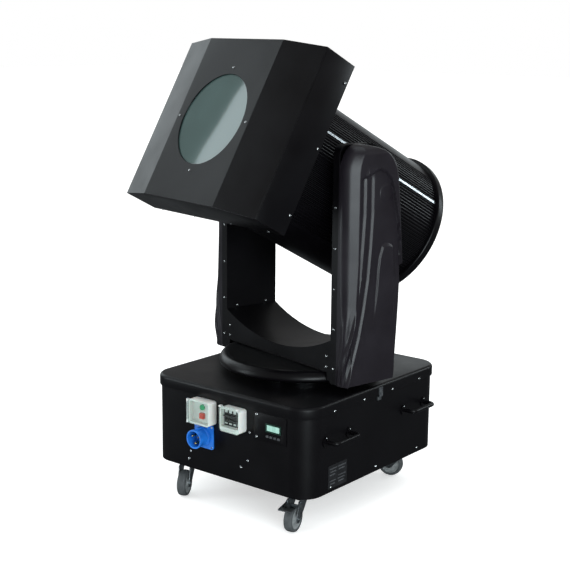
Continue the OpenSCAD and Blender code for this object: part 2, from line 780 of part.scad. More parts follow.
// Short-arc lamp on the beam axis: metal ends, quartz bulb and a holder behind the mirror
module lamp() {
  color("whitesmoke") in_head() translate([0, -reflector_vertex, 0]) rotate([90, 0, 0]) rotate_extrude()
    polygon([[0, -14], [40, -14], [40, -6], [11, -6], [11, 18], [7, 22], [8, 30], [16, 38], [21, 48],
      [21, 62], [16, 72], [8, 80], [7, 88], [9, 90], [9, 106], [0, 106]]);
}

module trunnions() {
  color("silver") in_head() both_sides() {
    translate([drum_d / 2 - 14, 0, 0]) rotate([0, 90, 0]) cylinder(r = trunnion_r, h = tilt_belt_x - drum_d / 2 + 26);
    translate([drum_d / 2 + 5, 0, 0]) rotate([0, 90, 0]) cylinder(r = 34, h = arm_in - drum_d / 2 - 7);
  }
}

module tilt_pulley() {
  color("silver") in_head() translate([tilt_belt_x, 0, 0]) rotate([0, 90, 0])
    pulley(tilt_pulley_r, tilt_belt_w, trunnion_r);
}

module head_screws() {
  edge = box_back + 9;
  color("silver") in_head() {
    for (a = [0 : 3]) rotate([0, a * 90, 0]) translate([lens_screw_r, -head_front, 0]) face_front() screw(4);
    both_sides() {
      for (z = [-1, 1], x = [85, 245]) scale([1, 1, z]) translate([x, -edge, head_h / 2]) screw(4);
      for (z = [-184, 0, 184]) translate([head_w / 2, -edge, z]) face_right() screw(4);
    }
  }
}

base_floor();
base_shell();
base_lid();
control_panel();
display_window();
starter_box();
breaker_box();
breaker_block();
power_inlet();
grab_handles();
lid_strap();
base_screws();
castor_plates();
pan_bearing();
pan_motor();
pan_belt();
lamp_ballast();
menu_button(0);  // menu_button_1
menu_button(1);  // menu_button_2
menu_button(2);  // menu_button_3
menu_button(3);  // menu_button_4
at_left_hinge(starter) switch_flap(starter[2], starter[3]);  // starter_cover
start_button();
stop_button();
at_top_hinge(breaker) switch_flap(breaker[3], breaker[2]);  // breaker_cover
breaker_lever();
pan_pinion();
castor_fork(0);  // castor_fork_1
castor_fork(1);  // castor_fork_2
castor_fork(2);  // castor_fork_3
castor_fork(3);  // castor_fork_4
castor_wheel(0);  // castor_wheel_1
castor_wheel(1);  // castor_wheel_2
castor_wheel(2);  // castor_wheel_3
castor_wheel(3);  // castor_wheel_4
castor_brake();
turntable();
pan_pulley();
yoke_bridge();
left_arm_frame();
right_arm_frame();
left_arm_cover();
right_arm_cover();
tilt_motor();
tilt_pinion();
tilt_belt();
yoke_screws();
head_box();
front_panel();
lens_ring();
lens_glass();
drum();
rear_ring();
rear_cover();
fan_rotor();
reflector();
lamp();
trunnions();
tilt_pulley();
head_screws();
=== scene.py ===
# %% [markdown]
# # A moving head searchlight
# A castor base carries a yoke that pans, and the yoke carries a lamp head that tilts between two arms.
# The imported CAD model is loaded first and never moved. Each new mesh is modelled with Blender's own
# operators, put in its place inside its mesh data, and then rides on one of the model's rigid bodies.

# %% Load the frame
import json
import math

import bpy
from mathutils import Matrix, Vector


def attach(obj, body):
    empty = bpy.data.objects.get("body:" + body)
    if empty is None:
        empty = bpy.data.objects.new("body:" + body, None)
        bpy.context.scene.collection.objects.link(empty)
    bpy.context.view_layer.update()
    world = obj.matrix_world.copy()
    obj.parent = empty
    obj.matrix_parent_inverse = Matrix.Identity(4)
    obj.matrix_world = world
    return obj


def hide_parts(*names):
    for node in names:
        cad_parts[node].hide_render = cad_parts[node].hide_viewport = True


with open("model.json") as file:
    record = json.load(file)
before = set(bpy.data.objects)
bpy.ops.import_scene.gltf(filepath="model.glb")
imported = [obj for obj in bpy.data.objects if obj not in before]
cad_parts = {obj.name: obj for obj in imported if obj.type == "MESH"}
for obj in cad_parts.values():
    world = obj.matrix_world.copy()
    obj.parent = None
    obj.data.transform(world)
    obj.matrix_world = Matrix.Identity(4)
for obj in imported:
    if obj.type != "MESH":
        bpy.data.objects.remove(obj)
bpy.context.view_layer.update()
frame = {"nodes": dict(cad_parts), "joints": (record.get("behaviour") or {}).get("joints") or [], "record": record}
nodes = frame["nodes"]

# %% [markdown]
# ## Where things are
# The yoke stands turned to one side and the head looks upward, so their pieces are easiest to model
# square to the axes and then turned. Both angles are read from the joints: the tilt axis gives the
# yoke's turn, and the fan's axis lies along the beam and gives the head's.

# %% Frames of the yoke and the head
MM = 0.001
joints = {j["name"]: j for j in frame["joints"]}
tilt_axis = Vector(joints["tilt"]["axis"])
beam = -Vector(joints["fan_turn"]["axis"])
PIVOT = Vector(joints["tilt"]["pos_m"])
YOKE = Matrix.Rotation(math.atan2(-tilt_axis.y, -tilt_axis.x), 4, "Z")
HEAD = YOKE @ Matrix.Translation(PIVOT) @ Matrix.Rotation(-math.asin(beam.z), 4, "X")
FLAT = Matrix.Identity(4)
print("yoke turned", round(math.degrees(math.atan2(-tilt_axis.y, -tilt_axis.x)), 2), "degrees")

# %% [markdown]
# ## Camera and studio
# The camera stands to the front right at about the height of the tilt axis and looks a little down.
# Black paint has hardly any colour of its own: what the eye sees is the studio in it. So the room is
# pale, large soft windows stand at the left and at the right front, weak panels behind and above keep
# the edges readable, and a narrow strip at the left front draws thin streaks on rounded corners.

# %% Camera
view = bpy.data.cameras.new("studio_camera")
view.sensor_width = 36
view.lens = 77.38
camera = bpy.data.objects.new("studio_camera", view)
bpy.context.scene.collection.objects.link(camera)
heading, dip, lean = -0.6791, -0.206, 0.009
forward = Vector((math.sin(heading) * math.cos(dip), math.cos(heading) * math.cos(dip), math.sin(dip)))
right = Vector((math.cos(heading), -math.sin(heading), 0))
up = right.cross(forward)
right_leaned = math.cos(lean) * right + math.sin(lean) * up
up_leaned = right_leaned.cross(forward)
turn = Matrix((right_leaned, up_leaned, -forward)).transposed().to_4x4()
camera.matrix_world = Matrix.Translation((2.1287, -2.7125, 1.3190)) @ turn
view.clip_end = 60
bpy.context.scene.camera = camera
print("camera looks along", [round(v, 3) for v in forward])

# %% Soft lights
LIGHT_TINT = (0.86, 0.96, 1.0)
SOFT_LIGHTS = [
    # name, place, aimed at, width, height, watts
    ("left_window", (-3.4, 0.6, 2.0), (0, 0, 0.8), 2.2, 2.4, 24),
    ("front_window", (3.1, -2.1, 1.0), (0.2, 0, 0.7), 1.8, 1.9, 75),
    ("front_left_strip", (-2.4, -2.5, 1.0), (0, 0, 0.6), 0.3, 1.9, 24),
    ("back_panel", (-1.4, 3.7, 1.4), (0, 0, 0.9), 1.6, 1.2, 4),
    ("right_back_strip", (2.0, 3.2, 1.7), (0, 0.3, 0.8), 0.5, 1.2, 16),
    ("top_panel", (0.4, 0.4, 3.9), (0, 0, 0.6), 2.2, 2.2, 14),
]
for name, place, aim, width, height, watts in SOFT_LIGHTS:
    lamp = bpy.data.lights.new(name, "AREA")
    lamp.shape = "RECTANGLE"
    lamp.size, lamp.size_y, lamp.energy = width, height, watts
    lamp.color = LIGHT_TINT
    stand = bpy.data.objects.new(name, lamp)
    bpy.context.scene.collection.objects.link(stand)
    stand.location = place
    stand.rotation_euler = (Vector(aim) - Vector(place)).to_track_quat("-Z", "Y").to_euler()
print("soft lights:", [row[0] for row in SOFT_LIGHTS])

# %% [markdown]
# ### A card for the lens
# A flat lens shows one thing only: what lies in its mirror direction. A lit card is hung there, so
# far to one side that its edge runs down through the glass, and turned a little so the edge slants.

# %% A card for the lens to mirror
CARD_WIDE, CARD_HIGH, CARD_WATTS = 0.9, 1.4, 9
CARD_AWAY, EDGE_ASIDE, EDGE_SLANT = 3.2, 0.06, -26
lens_at = HEAD @ Vector((0, -0.35, 0))
facing = HEAD.to_3x3() @ Vector((0, -1, 0))
side = HEAD.to_3x3() @ Vector((1, 0, 0))
sight = (lens_at - camera.matrix_world.translation).normalized()
mirror_ray = sight - 2 * sight.dot(facing) * facing
across = (side - side.dot(mirror_ray) * mirror_ray).normalized()
across = Matrix.Rotation(math.radians(EDGE_SLANT), 3, mirror_ray) @ across
upright = mirror_ray.cross(across)
card = bpy.data.lights.new("lens_card", "AREA")
card.shape = "RECTANGLE"
card.size, card.size_y, card.energy = CARD_WIDE, CARD_HIGH, CARD_WATTS
card.color = LIGHT_TINT
holder = bpy.data.objects.new("lens_card", card)
bpy.context.scene.collection.objects.link(holder)
spot = lens_at + CARD_AWAY * mirror_ray + (EDGE_ASIDE + CARD_WIDE / 2) * across
holder.matrix_world = Matrix.Translation(spot) @ Matrix((across, upright, mirror_ray)).transposed().to_4x4()
print("card at", [round(v, 2) for v in spot])

# %% [markdown]
# ## Materials
# One helper adds a node with its settings and links, and one turns a screen colour into the linear
# numbers that shaders want. Every material starts from its common name and how its surface was made.
# Patterns read Object coordinates, which are metres here, so a noise of scale 1 / (2 mm) has grains
# about 2 mm across.


# %% Node and colour helpers
def colour(hex_text):
    parts = [int(hex_text[i:i + 2], 16) / 255 for i in (1, 3, 5)]
    return tuple(p / 12.92 if p <= 0.04045 else ((p + 0.055) / 1.055) ** 2.4 for p in parts) + (1.0,)


def add(tree, kind, inputs=None, **settings):
    made = tree.nodes.new(kind)
    for key, value in settings.items():
        setattr(made, key, value)
    for key, value in (inputs or {}).items():
        if isinstance(value, bpy.types.NodeSocket):
            tree.links.new(value, made.inputs[key])
        else:
            made.inputs[key].default_value = value
    return made


def per_mm(size):
    return 1 / (size * MM)


# %% [markdown]
# ### The pale room
# The room behind is white to the eye. Glossy surfaces see it much dimmer, as if most of it were dark
# cloth out of view, so that black paint stays black and only the soft lights show in it.

# %% The pale room
world = bpy.data.worlds.new("pale_room")
bpy.context.scene.world = world
world.use_nodes = True
room = world.node_tree
mirrored = add(room, "ShaderNodeLightPath").outputs["Is Glossy Ray"]
level = add(room, "ShaderNodeMapRange", {"Value": mirrored, "To Min": 1.0, "To Max": 0.24}).outputs["Result"]
room.nodes["Background"].inputs["Color"].default_value = colour("#ffffff")
room.links.new(level, room.nodes["Background"].inputs["Strength"])
bpy.context.scene.view_settings.view_transform = "Standard"
print("room set")


# %% Material helpers
def surface(name, base, rough, metallic=0.0, **sockets):
    """A material with its shader, ready for patterns: returns material, tree, shader, coordinates."""
    material = bpy.data.materials.new(name)
    material.use_nodes = True
    tree = material.node_tree
    shader = tree.nodes["Principled BSDF"]
    shader.inputs["Base Color"].default_value = colour(base)
    shader.inputs["Roughness"].default_value = rough
    shader.inputs["Metallic"].default_value = metallic
    for key, value in sockets.items():
        shader.inputs[key.replace("_", " ")].default_value = value
    place = add(tree, "ShaderNodeTexCoord").outputs["Object"]
    return material, tree, shader, place


def blotched(tree, shader, place, size, dark, light, rough_low, rough_high, bump=None, grain=None):
    """Slow blotches of colour and gloss of that size, and a fine grain that lifts the surface."""
    slow = add(tree, "ShaderNodeTexNoise", {"Vector": place, "Scale": per_mm(size), "Detail": 4.0})
    tint = add(tree, "ShaderNodeValToRGB", {"Fac": slow.outputs["Fac"]})
    tint.color_ramp.elements[0].position, tint.color_ramp.elements[1].position = 0.3, 0.7
    tint.color_ramp.elements[0].color, tint.color_ramp.elements[1].color = colour(dark), colour(light)
    gloss = add(tree, "ShaderNodeMapRange", {"Value": slow.outputs["Fac"], "From Min": 0.3, "From Max": 0.7,
                                             "To Min": rough_low, "To Max": rough_high})
    tree.links.new(tint.outputs["Color"], shader.inputs["Base Color"])
    tree.links.new(gloss.outputs["Result"], shader.inputs["Roughness"])
    if bump:
        fine = add(tree, "ShaderNodeTexNoise", {"Vector": place, "Scale": per_mm(grain), "Detail": 2.0})
        lift = add(tree, "ShaderNodeBump", {"Height": fine.outputs["Fac"], "Strength": bump,
                                            "Distance": grain * MM * 0.3})
        tree.links.new(lift.outputs["Normal"], shader.inputs["Normal"])
    return slow


# %% [markdown]
# ### Black powder coat
# Sheet steel under baked powder. The powder flows into a faint orange peel about 2 mm across, which
# softens every reflection. It is drawn a little coarser than real so that it shows.

# %% Black powder coat on sheet steel
powder_coat, tree, shader, place = surface("black_powder_coat", "#060508", 0.36, Specular_IOR_Level=0.25)
blotched(tree, shader, place, 160, "#050406", "#08070a", 0.32, 0.42, bump=0.2, grain=2.5)

# %% Black stove enamel on aluminium
stove_enamel, tree, shader, place = surface("black_stove_enamel", "#060508", 0.34, Specular_IOR_Level=0.25)
blotched(tree, shader, place, 120, "#050406", "#08070a", 0.28, 0.38, bump=0.15, grain=1.6)

# %% [markdown]
# ### Moulded ABS
# The arm covers are vacuum formed or injection moulded ABS: a satin skin with a spark-eroded grain
# under a millimetre, and slightly glossier where hands have rubbed it.

# %% Satin black ABS
satin_abs, tree, shader, place = surface("satin_black_abs", "#18151b", 0.36, Specular_IOR_Level=0.4)
blotched(tree, shader, place, 90, "#161318", "#1c191f", 0.3, 0.4, bump=0.18, grain=1.1)

# %% Grained black plastic and dark grey plastic
grained_plastic, tree, shader, place = surface("grained_black_plastic", "#141414", 0.55)
blotched(tree, shader, place, 40, "#101010", "#191919", 0.5, 0.62, bump=0.3, grain=0.9)
grey_plastic, tree, shader, place = surface("dark_grey_plastic", "#3b3d40", 0.45)
blotched(tree, shader, place, 30, "#323437", "#45484b", 0.4, 0.52, bump=0.15, grain=0.8)

# %% [markdown]
# ### Bare metals
# Zinc plate is a thin bright crystal skin: soft cloudy patches a few millimetres wide. Turned
# aluminium shows the tool's fine rings, and nickel plated screws are close to a mirror.

# %% Zinc plate, turned aluminium, nickel
zinc_plate, tree, shader, place = surface("bright_zinc_plate", "#b4b9bd", 0.32, 1.0)
blotched(tree, shader, place, 9, "#9aa0a5", "#cdd2d5", 0.24, 0.42, bump=0.12, grain=1.5)
turned_aluminium, tree, shader, place = surface("turned_aluminium", "#c2c4c6", 0.3, 1.0)
blotched(tree, shader, place, 14, "#adb0b3", "#cfd1d3", 0.24, 0.38, bump=0.1, grain=0.8)
nickel_plate, tree, shader, place = surface("nickel_plated_steel", "#d6d8d8", 0.2, 1.0)
blotched(tree, shader, place, 4, "#c4c7c8", "#e2e4e4", 0.15, 0.28)
brass, tree, shader, place = surface("nickelled_brass", "#c9b27a", 0.28, 1.0)
blotched(tree, shader, place, 5, "#b79c60", "#d6c390", 0.22, 0.36)

# %% Grey enamel and motor paint
grey_enamel, tree, shader, place = surface("grey_enamel", "#565a5d", 0.42)
blotched(tree, shader, place, 60, "#4e5255", "#5f6366", 0.36, 0.48, bump=0.2, grain=2.0)
motor_paint, tree, shader, place = surface("motor_black_paint", "#17181a", 0.38)
blotched(tree, shader, place, 30, "#121315", "#1e1f22", 0.32, 0.46, bump=0.15, grain=1.2)

# %% [markdown]
# ### Plastics of the control face
# Switch boxes are moulded in off-white, slightly translucent plastic, so a little light passes under
# the skin. The mains inlet is the strong blue that marks its voltage.

# %% White, blue, green and red plastic
white_plastic, tree, shader, place = surface("white_switch_box_plastic", "#d3d4d1", 0.34,
                                             Subsurface_Weight=0.08)
blotched(tree, shader, place, 35, "#cdcecb", "#dadbd8", 0.3, 0.4, bump=0.08, grain=0.8)
blue_plastic, tree, shader, place = surface("blue_inlet_plastic", "#1f66b4", 0.4)
blotched(tree, shader, place, 22, "#125bb2", "#1d74d4", 0.34, 0.46, bump=0.12, grain=0.9)
green_plastic, tree, shader, place = surface("green_button_plastic", "#17a062", 0.3)
blotched(tree, shader, place, 9, "#12915a", "#22b070", 0.26, 0.36)
red_plastic, tree, shader, place = surface("red_button_plastic", "#c8402c", 0.3)
blotched(tree, shader, place, 9, "#b83622", "#d84c38", 0.26, 0.36)

# %% [markdown]
# ### Clear and glowing parts
# The lids of the switch boxes are thin clear polycarbonate. The display is a pale backlit liquid
# crystal. The lens is toughened glass with a coating that gives it a grey-green cast.

# %% Polycarbonate, display, lens, quartz, mirror
clear_lid, tree, shader, place = surface("clear_polycarbonate", "#f4f8f8", 0.08)
scuff = add(tree, "ShaderNodeTexNoise", {"Vector": place, "Scale": per_mm(18), "Detail": 5.0})
haze = add(tree, "ShaderNodeMapRange", {"Value": scuff.outputs["Fac"], "To Min": 0.04, "To Max": 0.16})
tree.links.new(haze.outputs["Result"], shader.inputs["Roughness"])
through = add(tree, "ShaderNodeBsdfTransparent", {"Color": colour("#f6faf9")})
edge_on = add(tree, "ShaderNodeLayerWeight", {"Blend": 0.12}).outputs["Fresnel"]
thin = add(tree, "ShaderNodeMixShader", {0: edge_on, 1: through.outputs[0], 2: shader.outputs[0]})
tree.links.new(thin.outputs[0], tree.nodes["Material Output"].inputs["Surface"])

display, tree, shader, place = surface("backlit_display", "#6f978c", 0.15, Emission_Strength=0.02)
shader.inputs["Emission Color"].default_value = colour("#d8f2ea")
cells = add(tree, "ShaderNodeTexBrick", {"Vector": place, "Scale": per_mm(20), "Color1": colour("#9cc4b8"),
                                         "Color2": colour("#8cb6a9"), "Mortar": colour("#7aa396")})
tree.links.new(cells.outputs["Color"], shader.inputs["Base Color"])

lens_glass, tree, shader, place = surface("coated_lens_glass", "#4a605e", 0.05, Transmission_Weight=0.35,
                                          Coat_Weight=0.6, Coat_Roughness=0.04)
blotched(tree, shader, place, 260, "#435856", "#536b69", 0.04, 0.07)
quartz, tree, shader, place = surface("lamp_quartz", "#e8ecec", 0.05, Transmission_Weight=0.7, IOR=1.46)
blotched(tree, shader, place, 20, "#dfe5e5", "#f2f5f5", 0.03, 0.1)
mirror, tree, shader, place = surface("polished_reflector", "#dcdcd8", 0.06, 1.0)
blotched(tree, shader, place, 50, "#d2d2ce", "#e6e6e3", 0.04, 0.1)

# %% [markdown]
# ### Rubber
# Castor treads are grey non-marking rubber, dull and dusty where they roll. The drive belts are
# black, with a chalky bloom.

# %% Tread rubber and belt rubber
tread_rubber, tree, shader, place = surface("grey_tread_rubber", "#404446", 0.6)
blotched(tree, shader, place, 12, "#3a3e40", "#4a4e50", 0.5, 0.7, bump=0.35, grain=1.4)
belt_rubber, tree, shader, place = surface("belt_rubber", "#161616", 0.8)
blotched(tree, shader, place, 15, "#111111", "#1f1f1f", 0.7, 0.9, bump=0.3, grain=1.0)
hub_nylon, tree, shader, place = surface("pale_hub_nylon", "#7b7f80", 0.4)
blotched(tree, shader, place, 14, "#727677", "#868a8b", 0.3, 0.45, bump=0.1, grain=0.9)

SLOT_MATERIAL = {
    "black_steel": powder_coat, "black_aluminium": stove_enamel, "black_abs": satin_abs,
    "black_plastic": grained_plastic, "bare_aluminium": turned_aluminium, "zinc_steel": zinc_plate,
    "grey_steel": grey_enamel, "motor_black": motor_paint, "screw_steel": nickel_plate,
    "white_plastic": white_plastic, "clear_plastic": clear_lid, "blue_plastic": blue_plastic,
    "green_plastic": green_plastic, "red_plastic": red_plastic, "grey_plastic": grey_plastic,
    "display_glass": display, "tyre_grey": tread_rubber, "belt_rubber": belt_rubber,
    "lens_glass": lens_glass, "mirror": mirror, "quartz": quartz,
}
node_slot = {row["node"]: row["material_slot"] for row in frame["record"]["subparts"]}
for name, obj in nodes.items():
    obj.data.materials.clear()
    obj.data.materials.append(SLOT_MATERIAL[node_slot[name]])
print("materials on", len(nodes), "CAD nodes")

# %% [markdown]
# ## Modelling helpers
# Operators act on whatever is selected, so each helper first clears the selection. A profile is drawn
# by starting from one vertex and extruding it from point to point, as one would by hand. From there a
# turned piece is a spin of its profile, and a sheet or plate is its outline, filled and extruded.


# %% Select, draw, spin, extrude
def only(obj):
    if bpy.context.object and bpy.context.object.mode != "OBJECT":
        bpy.ops.object.mode_set(mode="OBJECT")
    bpy.ops.object.select_all(action="DESELECT")
    bpy.context.view_layer.objects.active = obj
    obj.select_set(True)


def draw(name, points, closed):
    """One vertex, extruded along the points, in millimetres. It leaves the object in edit mode."""
    bpy.ops.object.select_all(action="DESELECT")
    bpy.ops.mesh.primitive_plane_add(size=MM)
    obj = bpy.context.object
    obj.name = obj.data.name = name
    bpy.ops.object.mode_set(mode="EDIT")
    bpy.ops.mesh.select_mode(type="VERT")
    bpy.ops.mesh.merge(type="CENTER")
    path = [Vector(p) * MM for p in points]
    bpy.ops.transform.translate(value=path[0])
    for here, there in zip(path, path[1:]):
        bpy.ops.mesh.extrude_vertices_move(TRANSFORM_OT_translate={"value": there - here})
    if closed:
        bpy.ops.mesh.select_all(action="SELECT")
        bpy.ops.mesh.edge_face_add()
    return obj


def turned(name, profile, steps=64):
    """A lathe piece round Z from (radius, height) points. A ring's profile ends where it starts."""
    obj = draw(name, [(r, 0, z) for r, z in profile], False)
    bpy.ops.mesh.select_all(action="SELECT")
    bpy.ops.mesh.spin(steps=steps, angle=2 * math.pi, center=(0, 0, 0), axis=(0, 0, 1))
    bpy.ops.mesh.select_all(action="SELECT")
    bpy.ops.mesh.remove_doubles(threshold=0.00002)
    bpy.ops.mesh.normals_make_consistent(inside=False)
    bpy.ops.object.mode_set(mode="OBJECT")
    return obj


def plate(name, outline, thick):
    """A flat piece in the XY plane from its outline, raised by its thickness."""
    obj = draw(name, [(x, y, 0) for x, y in outline], True)
    bpy.ops.mesh.select_all(action="SELECT")
    bpy.ops.mesh.extrude_region_move(TRANSFORM_OT_translate={"value": (0, 0, thick * MM)})
    bpy.ops.mesh.select_all(action="SELECT")
    bpy.ops.mesh.normals_make_consistent(inside=False)
    bpy.ops.object.mode_set(mode="OBJECT")
    return obj


def box(name, low, high):
    """A cube primitive between two corners in millimetres."""
    bpy.ops.object.select_all(action="DESELECT")
    bpy.ops.mesh.primitive_cube_add(size=1)
    obj = bpy.context.object
    obj.name = obj.data.name = name
    size = [(b - a) * MM for a, b in zip(low, high)]
    mid = [(b + a) / 2 * MM for a, b in zip(low, high)]
    obj.data.transform(Matrix.Translation(mid) @ Matrix.Diagonal((*size, 1)))
    return obj


def rod(name, radius, start, end, sides=32):
    """A cylinder primitive from one point to another, in millimetres."""
    a, b = Vector(start) * MM, Vector(end) * MM
    bpy.ops.object.select_all(action="DESELECT")
    bpy.ops.mesh.primitive_cylinder_add(vertices=sides, radius=radius * MM, depth=(b - a).length)
    obj = bpy.context.object
    obj.name = obj.data.name = name
    aim = (b - a).to_track_quat("Z", "Y").to_matrix().to_4x4()
    obj.data.transform(Matrix.Translation((a + b) / 2) @ aim)
    return obj


# %% Finish pieces: bevel, cut, join, move, hand over
def apply_modifier(obj, kind, **settings):
    only(obj)
    bpy.ops.object.modifier_add(type=kind)
    modifier = obj.modifiers[-1]
    for key, value in settings.items():
        setattr(modifier, key, value)
    bpy.ops.object.modifier_apply(modifier=modifier.name)
    return obj


def soften(obj, width, segments=2, angle=40):
    """A small round on every edge sharper than the angle."""
    return apply_modifier(obj, "BEVEL", width=width * MM, segments=segments, limit_method="ANGLE",
                          angle_limit=math.radians(angle), harden_normals=False)


def cut(obj, *tools):
    for tool in tools:
        apply_modifier(obj, "BOOLEAN", operation="DIFFERENCE", object=tool, solver="EXACT")
        bpy.data.objects.remove(tool)
    return obj


def join(name, *parts):
    only(parts[0])
    for part in parts[1:]:
        part.select_set(True)
    if len(parts) > 1:
        bpy.ops.object.join()
    parts[0].name = parts[0].data.name = name
    return parts[0]


def move(obj, matrix):
    obj.data.transform(matrix)
    return obj


def shift(x, y, z):
    return Matrix.Translation((x * MM, y * MM, z * MM))


def about(degrees, axis):
    return Matrix.Rotation(math.radians(degrees), 4, axis)


def paint(obj, material):
    obj.data.materials.clear()
    obj.data.materials.append(material)
    return obj


def hand_over(obj, body, slot_name, *cad_nodes, smooth=35, material=None):
    """Shade, paint, give the finished piece to its body, and hide the CAD nodes that it replaces."""
    only(obj)
    bpy.ops.object.shade_smooth_by_angle(angle=math.radians(smooth))
    if not obj.data.materials:
        paint(obj, material or SLOT_MATERIAL[slot_name])
    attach(obj, body)
    if cad_nodes:
        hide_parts(*cad_nodes)
    print(obj.name, len(obj.data.polygons), "faces on", body)
    return obj


# %% [markdown]
# ## Arm covers
# Each arm wears a moulded plastic cover. From the front corner three ribs sweep down and forward and
# meet at the bottom corner; behind them the side is sunk below a hood, and a long tongue stands up in
# it. A cover is one skin, so it starts as a grid. Its columns go round the arm from the front edge
# over the corner and the side to the back edge, its rows go up, and each vertex is put on that
# section and then pushed out or in for the ribs. Drawing it as a grid keeps every rib a clean flow
# of quads, which a subdivided box would not.

# %% Arm cover: plan of the skin
ARM_IN, FRAME_W, COVER_W = 238, 24, 46
ARM_MID, ARM_OUT = ARM_IN + FRAME_W, ARM_IN + FRAME_W + COVER_W
ARM_BASE, ARM_TOP = 377, 1026
BACK_R, TOP_R = 12, 26
CREST_AT, CREST_DEEP = 944, 52
HALF = 92


def between(z, table):
    """Straight-line reading of a table of (height, value), lowest first."""
    if z <= table[0][0]:
        return table[0][1]
    for (z0, v0), (z1, v1) in zip(table, table[1:]):
        if z <= z1:
            t = (z - z0) / (z1 - z0)
            return v0 + (v1 - v0) * t
    return table[-1][1]


def ease(t):
    """A soft step from 0 to 1."""
    t = max(0.0, min(1.0, t))
    return t * t * (3 - 2 * t)


def hump(t):
    """A round ridge, 1 high at 0 and gone at -1 and 1."""
    return math.cos(math.pi * t / 2) ** 2 if abs(t) < 1 else 0.0


FIN_START, FIN_CREST, FIN_RUN, FIN_FALL, FIN_SCALE = 6, 4, 14, 6, 1.25


def fin(along):
    """Outline of one narrow rib: a slope facing the front and a quicker fall behind it."""
    if along < FIN_CREST:
        return ease((along + FIN_START) / FIN_RUN) * FIN_SCALE
    return ease((FIN_CREST + FIN_START) / FIN_RUN) * FIN_SCALE * (1 - ease((along - FIN_CREST) / FIN_FALL))


BACK_EDGE = [(377, 95), (438, 101), (539, 107), (600, 110), (648, 111), (700, 108), (781, 101), (885, 92),
             (930, 87), (963, 80), (985, 68), (1000, 53), (1010, 36), (1018, 14), (1023, -8), (1026, -24)]
OUTER = [(377, ARM_OUT - 4), (450, ARM_OUT), (980, ARM_OUT)]
# Lines on the skin as (height, distance round the section): the front corner is near -80
RIB_1 = [(377, -122), (406, -117), (448, -108), (507, -98), (567, -90), (640, -78)]
VALLEY = [(377, -112), (448, -92), (507, -75), (588, -63), (660, -57), (720, -55), (830, -54), (922, -57),
          (966, -63)]
RIB_2 = [(377, -108), (430, -100), (481, -90), (516, -79), (586, -60), (662, -49), (755, -41), (844, -35),
         (945, -35)]
RIB_3 = [(377, -88), (417, -77), (464, -62), (511, -48), (583, -33), (663, -20), (752, -12), (842, -7),
         (945, -8)]
# The hood's lower edge, as (distance round the section, height)
HOOD = [(-70, 925), (-52, 938), (-40, 945), (-19, 949), (-6, 957), (14, 963), (35, 956), (60, 931), (71, 887),
        (86, 821), (93, 760), (99, 700)]
# The broad front band: a flat turned 57 degrees from the front, after a rounding of its own radius
BAND = math.radians(57)
BAND_WIDTH = [(377, 8), (507, 14), (600, 18), (720, 21.5)]
BAND_ROUND = [(377, 12), (507, 18), (600, 25), (720, 31)]
BAND_RIDGE = 6
TONGUE_LEFT = [(540, 4), (577, 9), (649, 15), (685, 17), (723, 22), (745, 30)]
TONGUE_RIGHT = [(540, 84), (649, 82), (700, 80), (745, 74)]
TONGUE_TOP = 758
BOSS = (45, 895)


def hood_line(s):
    """Height of the hood's lower edge at a distance round the section."""
    return between(s, HOOD)


def relief(s, z):
    """How far the skin stands out or is sunk there, in millimetres."""
    r1, valley, r2, r3 = (between(z, line) for line in (RIB_1, VALLEY, RIB_2, RIB_3))
    fade = 1 - ease((z - 925) / 45)
    low = ease((z - 385) / 60)
    out = 3.0 * hump((s - r1) / 14) * (1 - ease((z - 520) / 80))
    sunk = ease((hood_line(s) - z) / 7) * ease((s - valley) / 8)
    out -= (3.5 + 4.5 * low) * sunk
    out += 5.4 * fin(s - r2) * fade
    out += 5.4 * fin(s - r3) * fade
    out -= 2.0 * sunk * ease((s - r3) / 16)
    left, right_side = between(z, TONGUE_LEFT), between(z, TONGUE_RIGHT)
    crown = TONGUE_TOP - 0.018 * (s - 50) ** 2
    inside = ease((s - left) / 6) * ease((right_side - s) / 6) * ease((crown - z) / 6)
    out += 4.5 * inside * ease((z - 520) / 120)
    out += 1.6 * (1 - ease((math.hypot(s - BOSS[0], z - BOSS[1]) - 22) / 3))
    return out


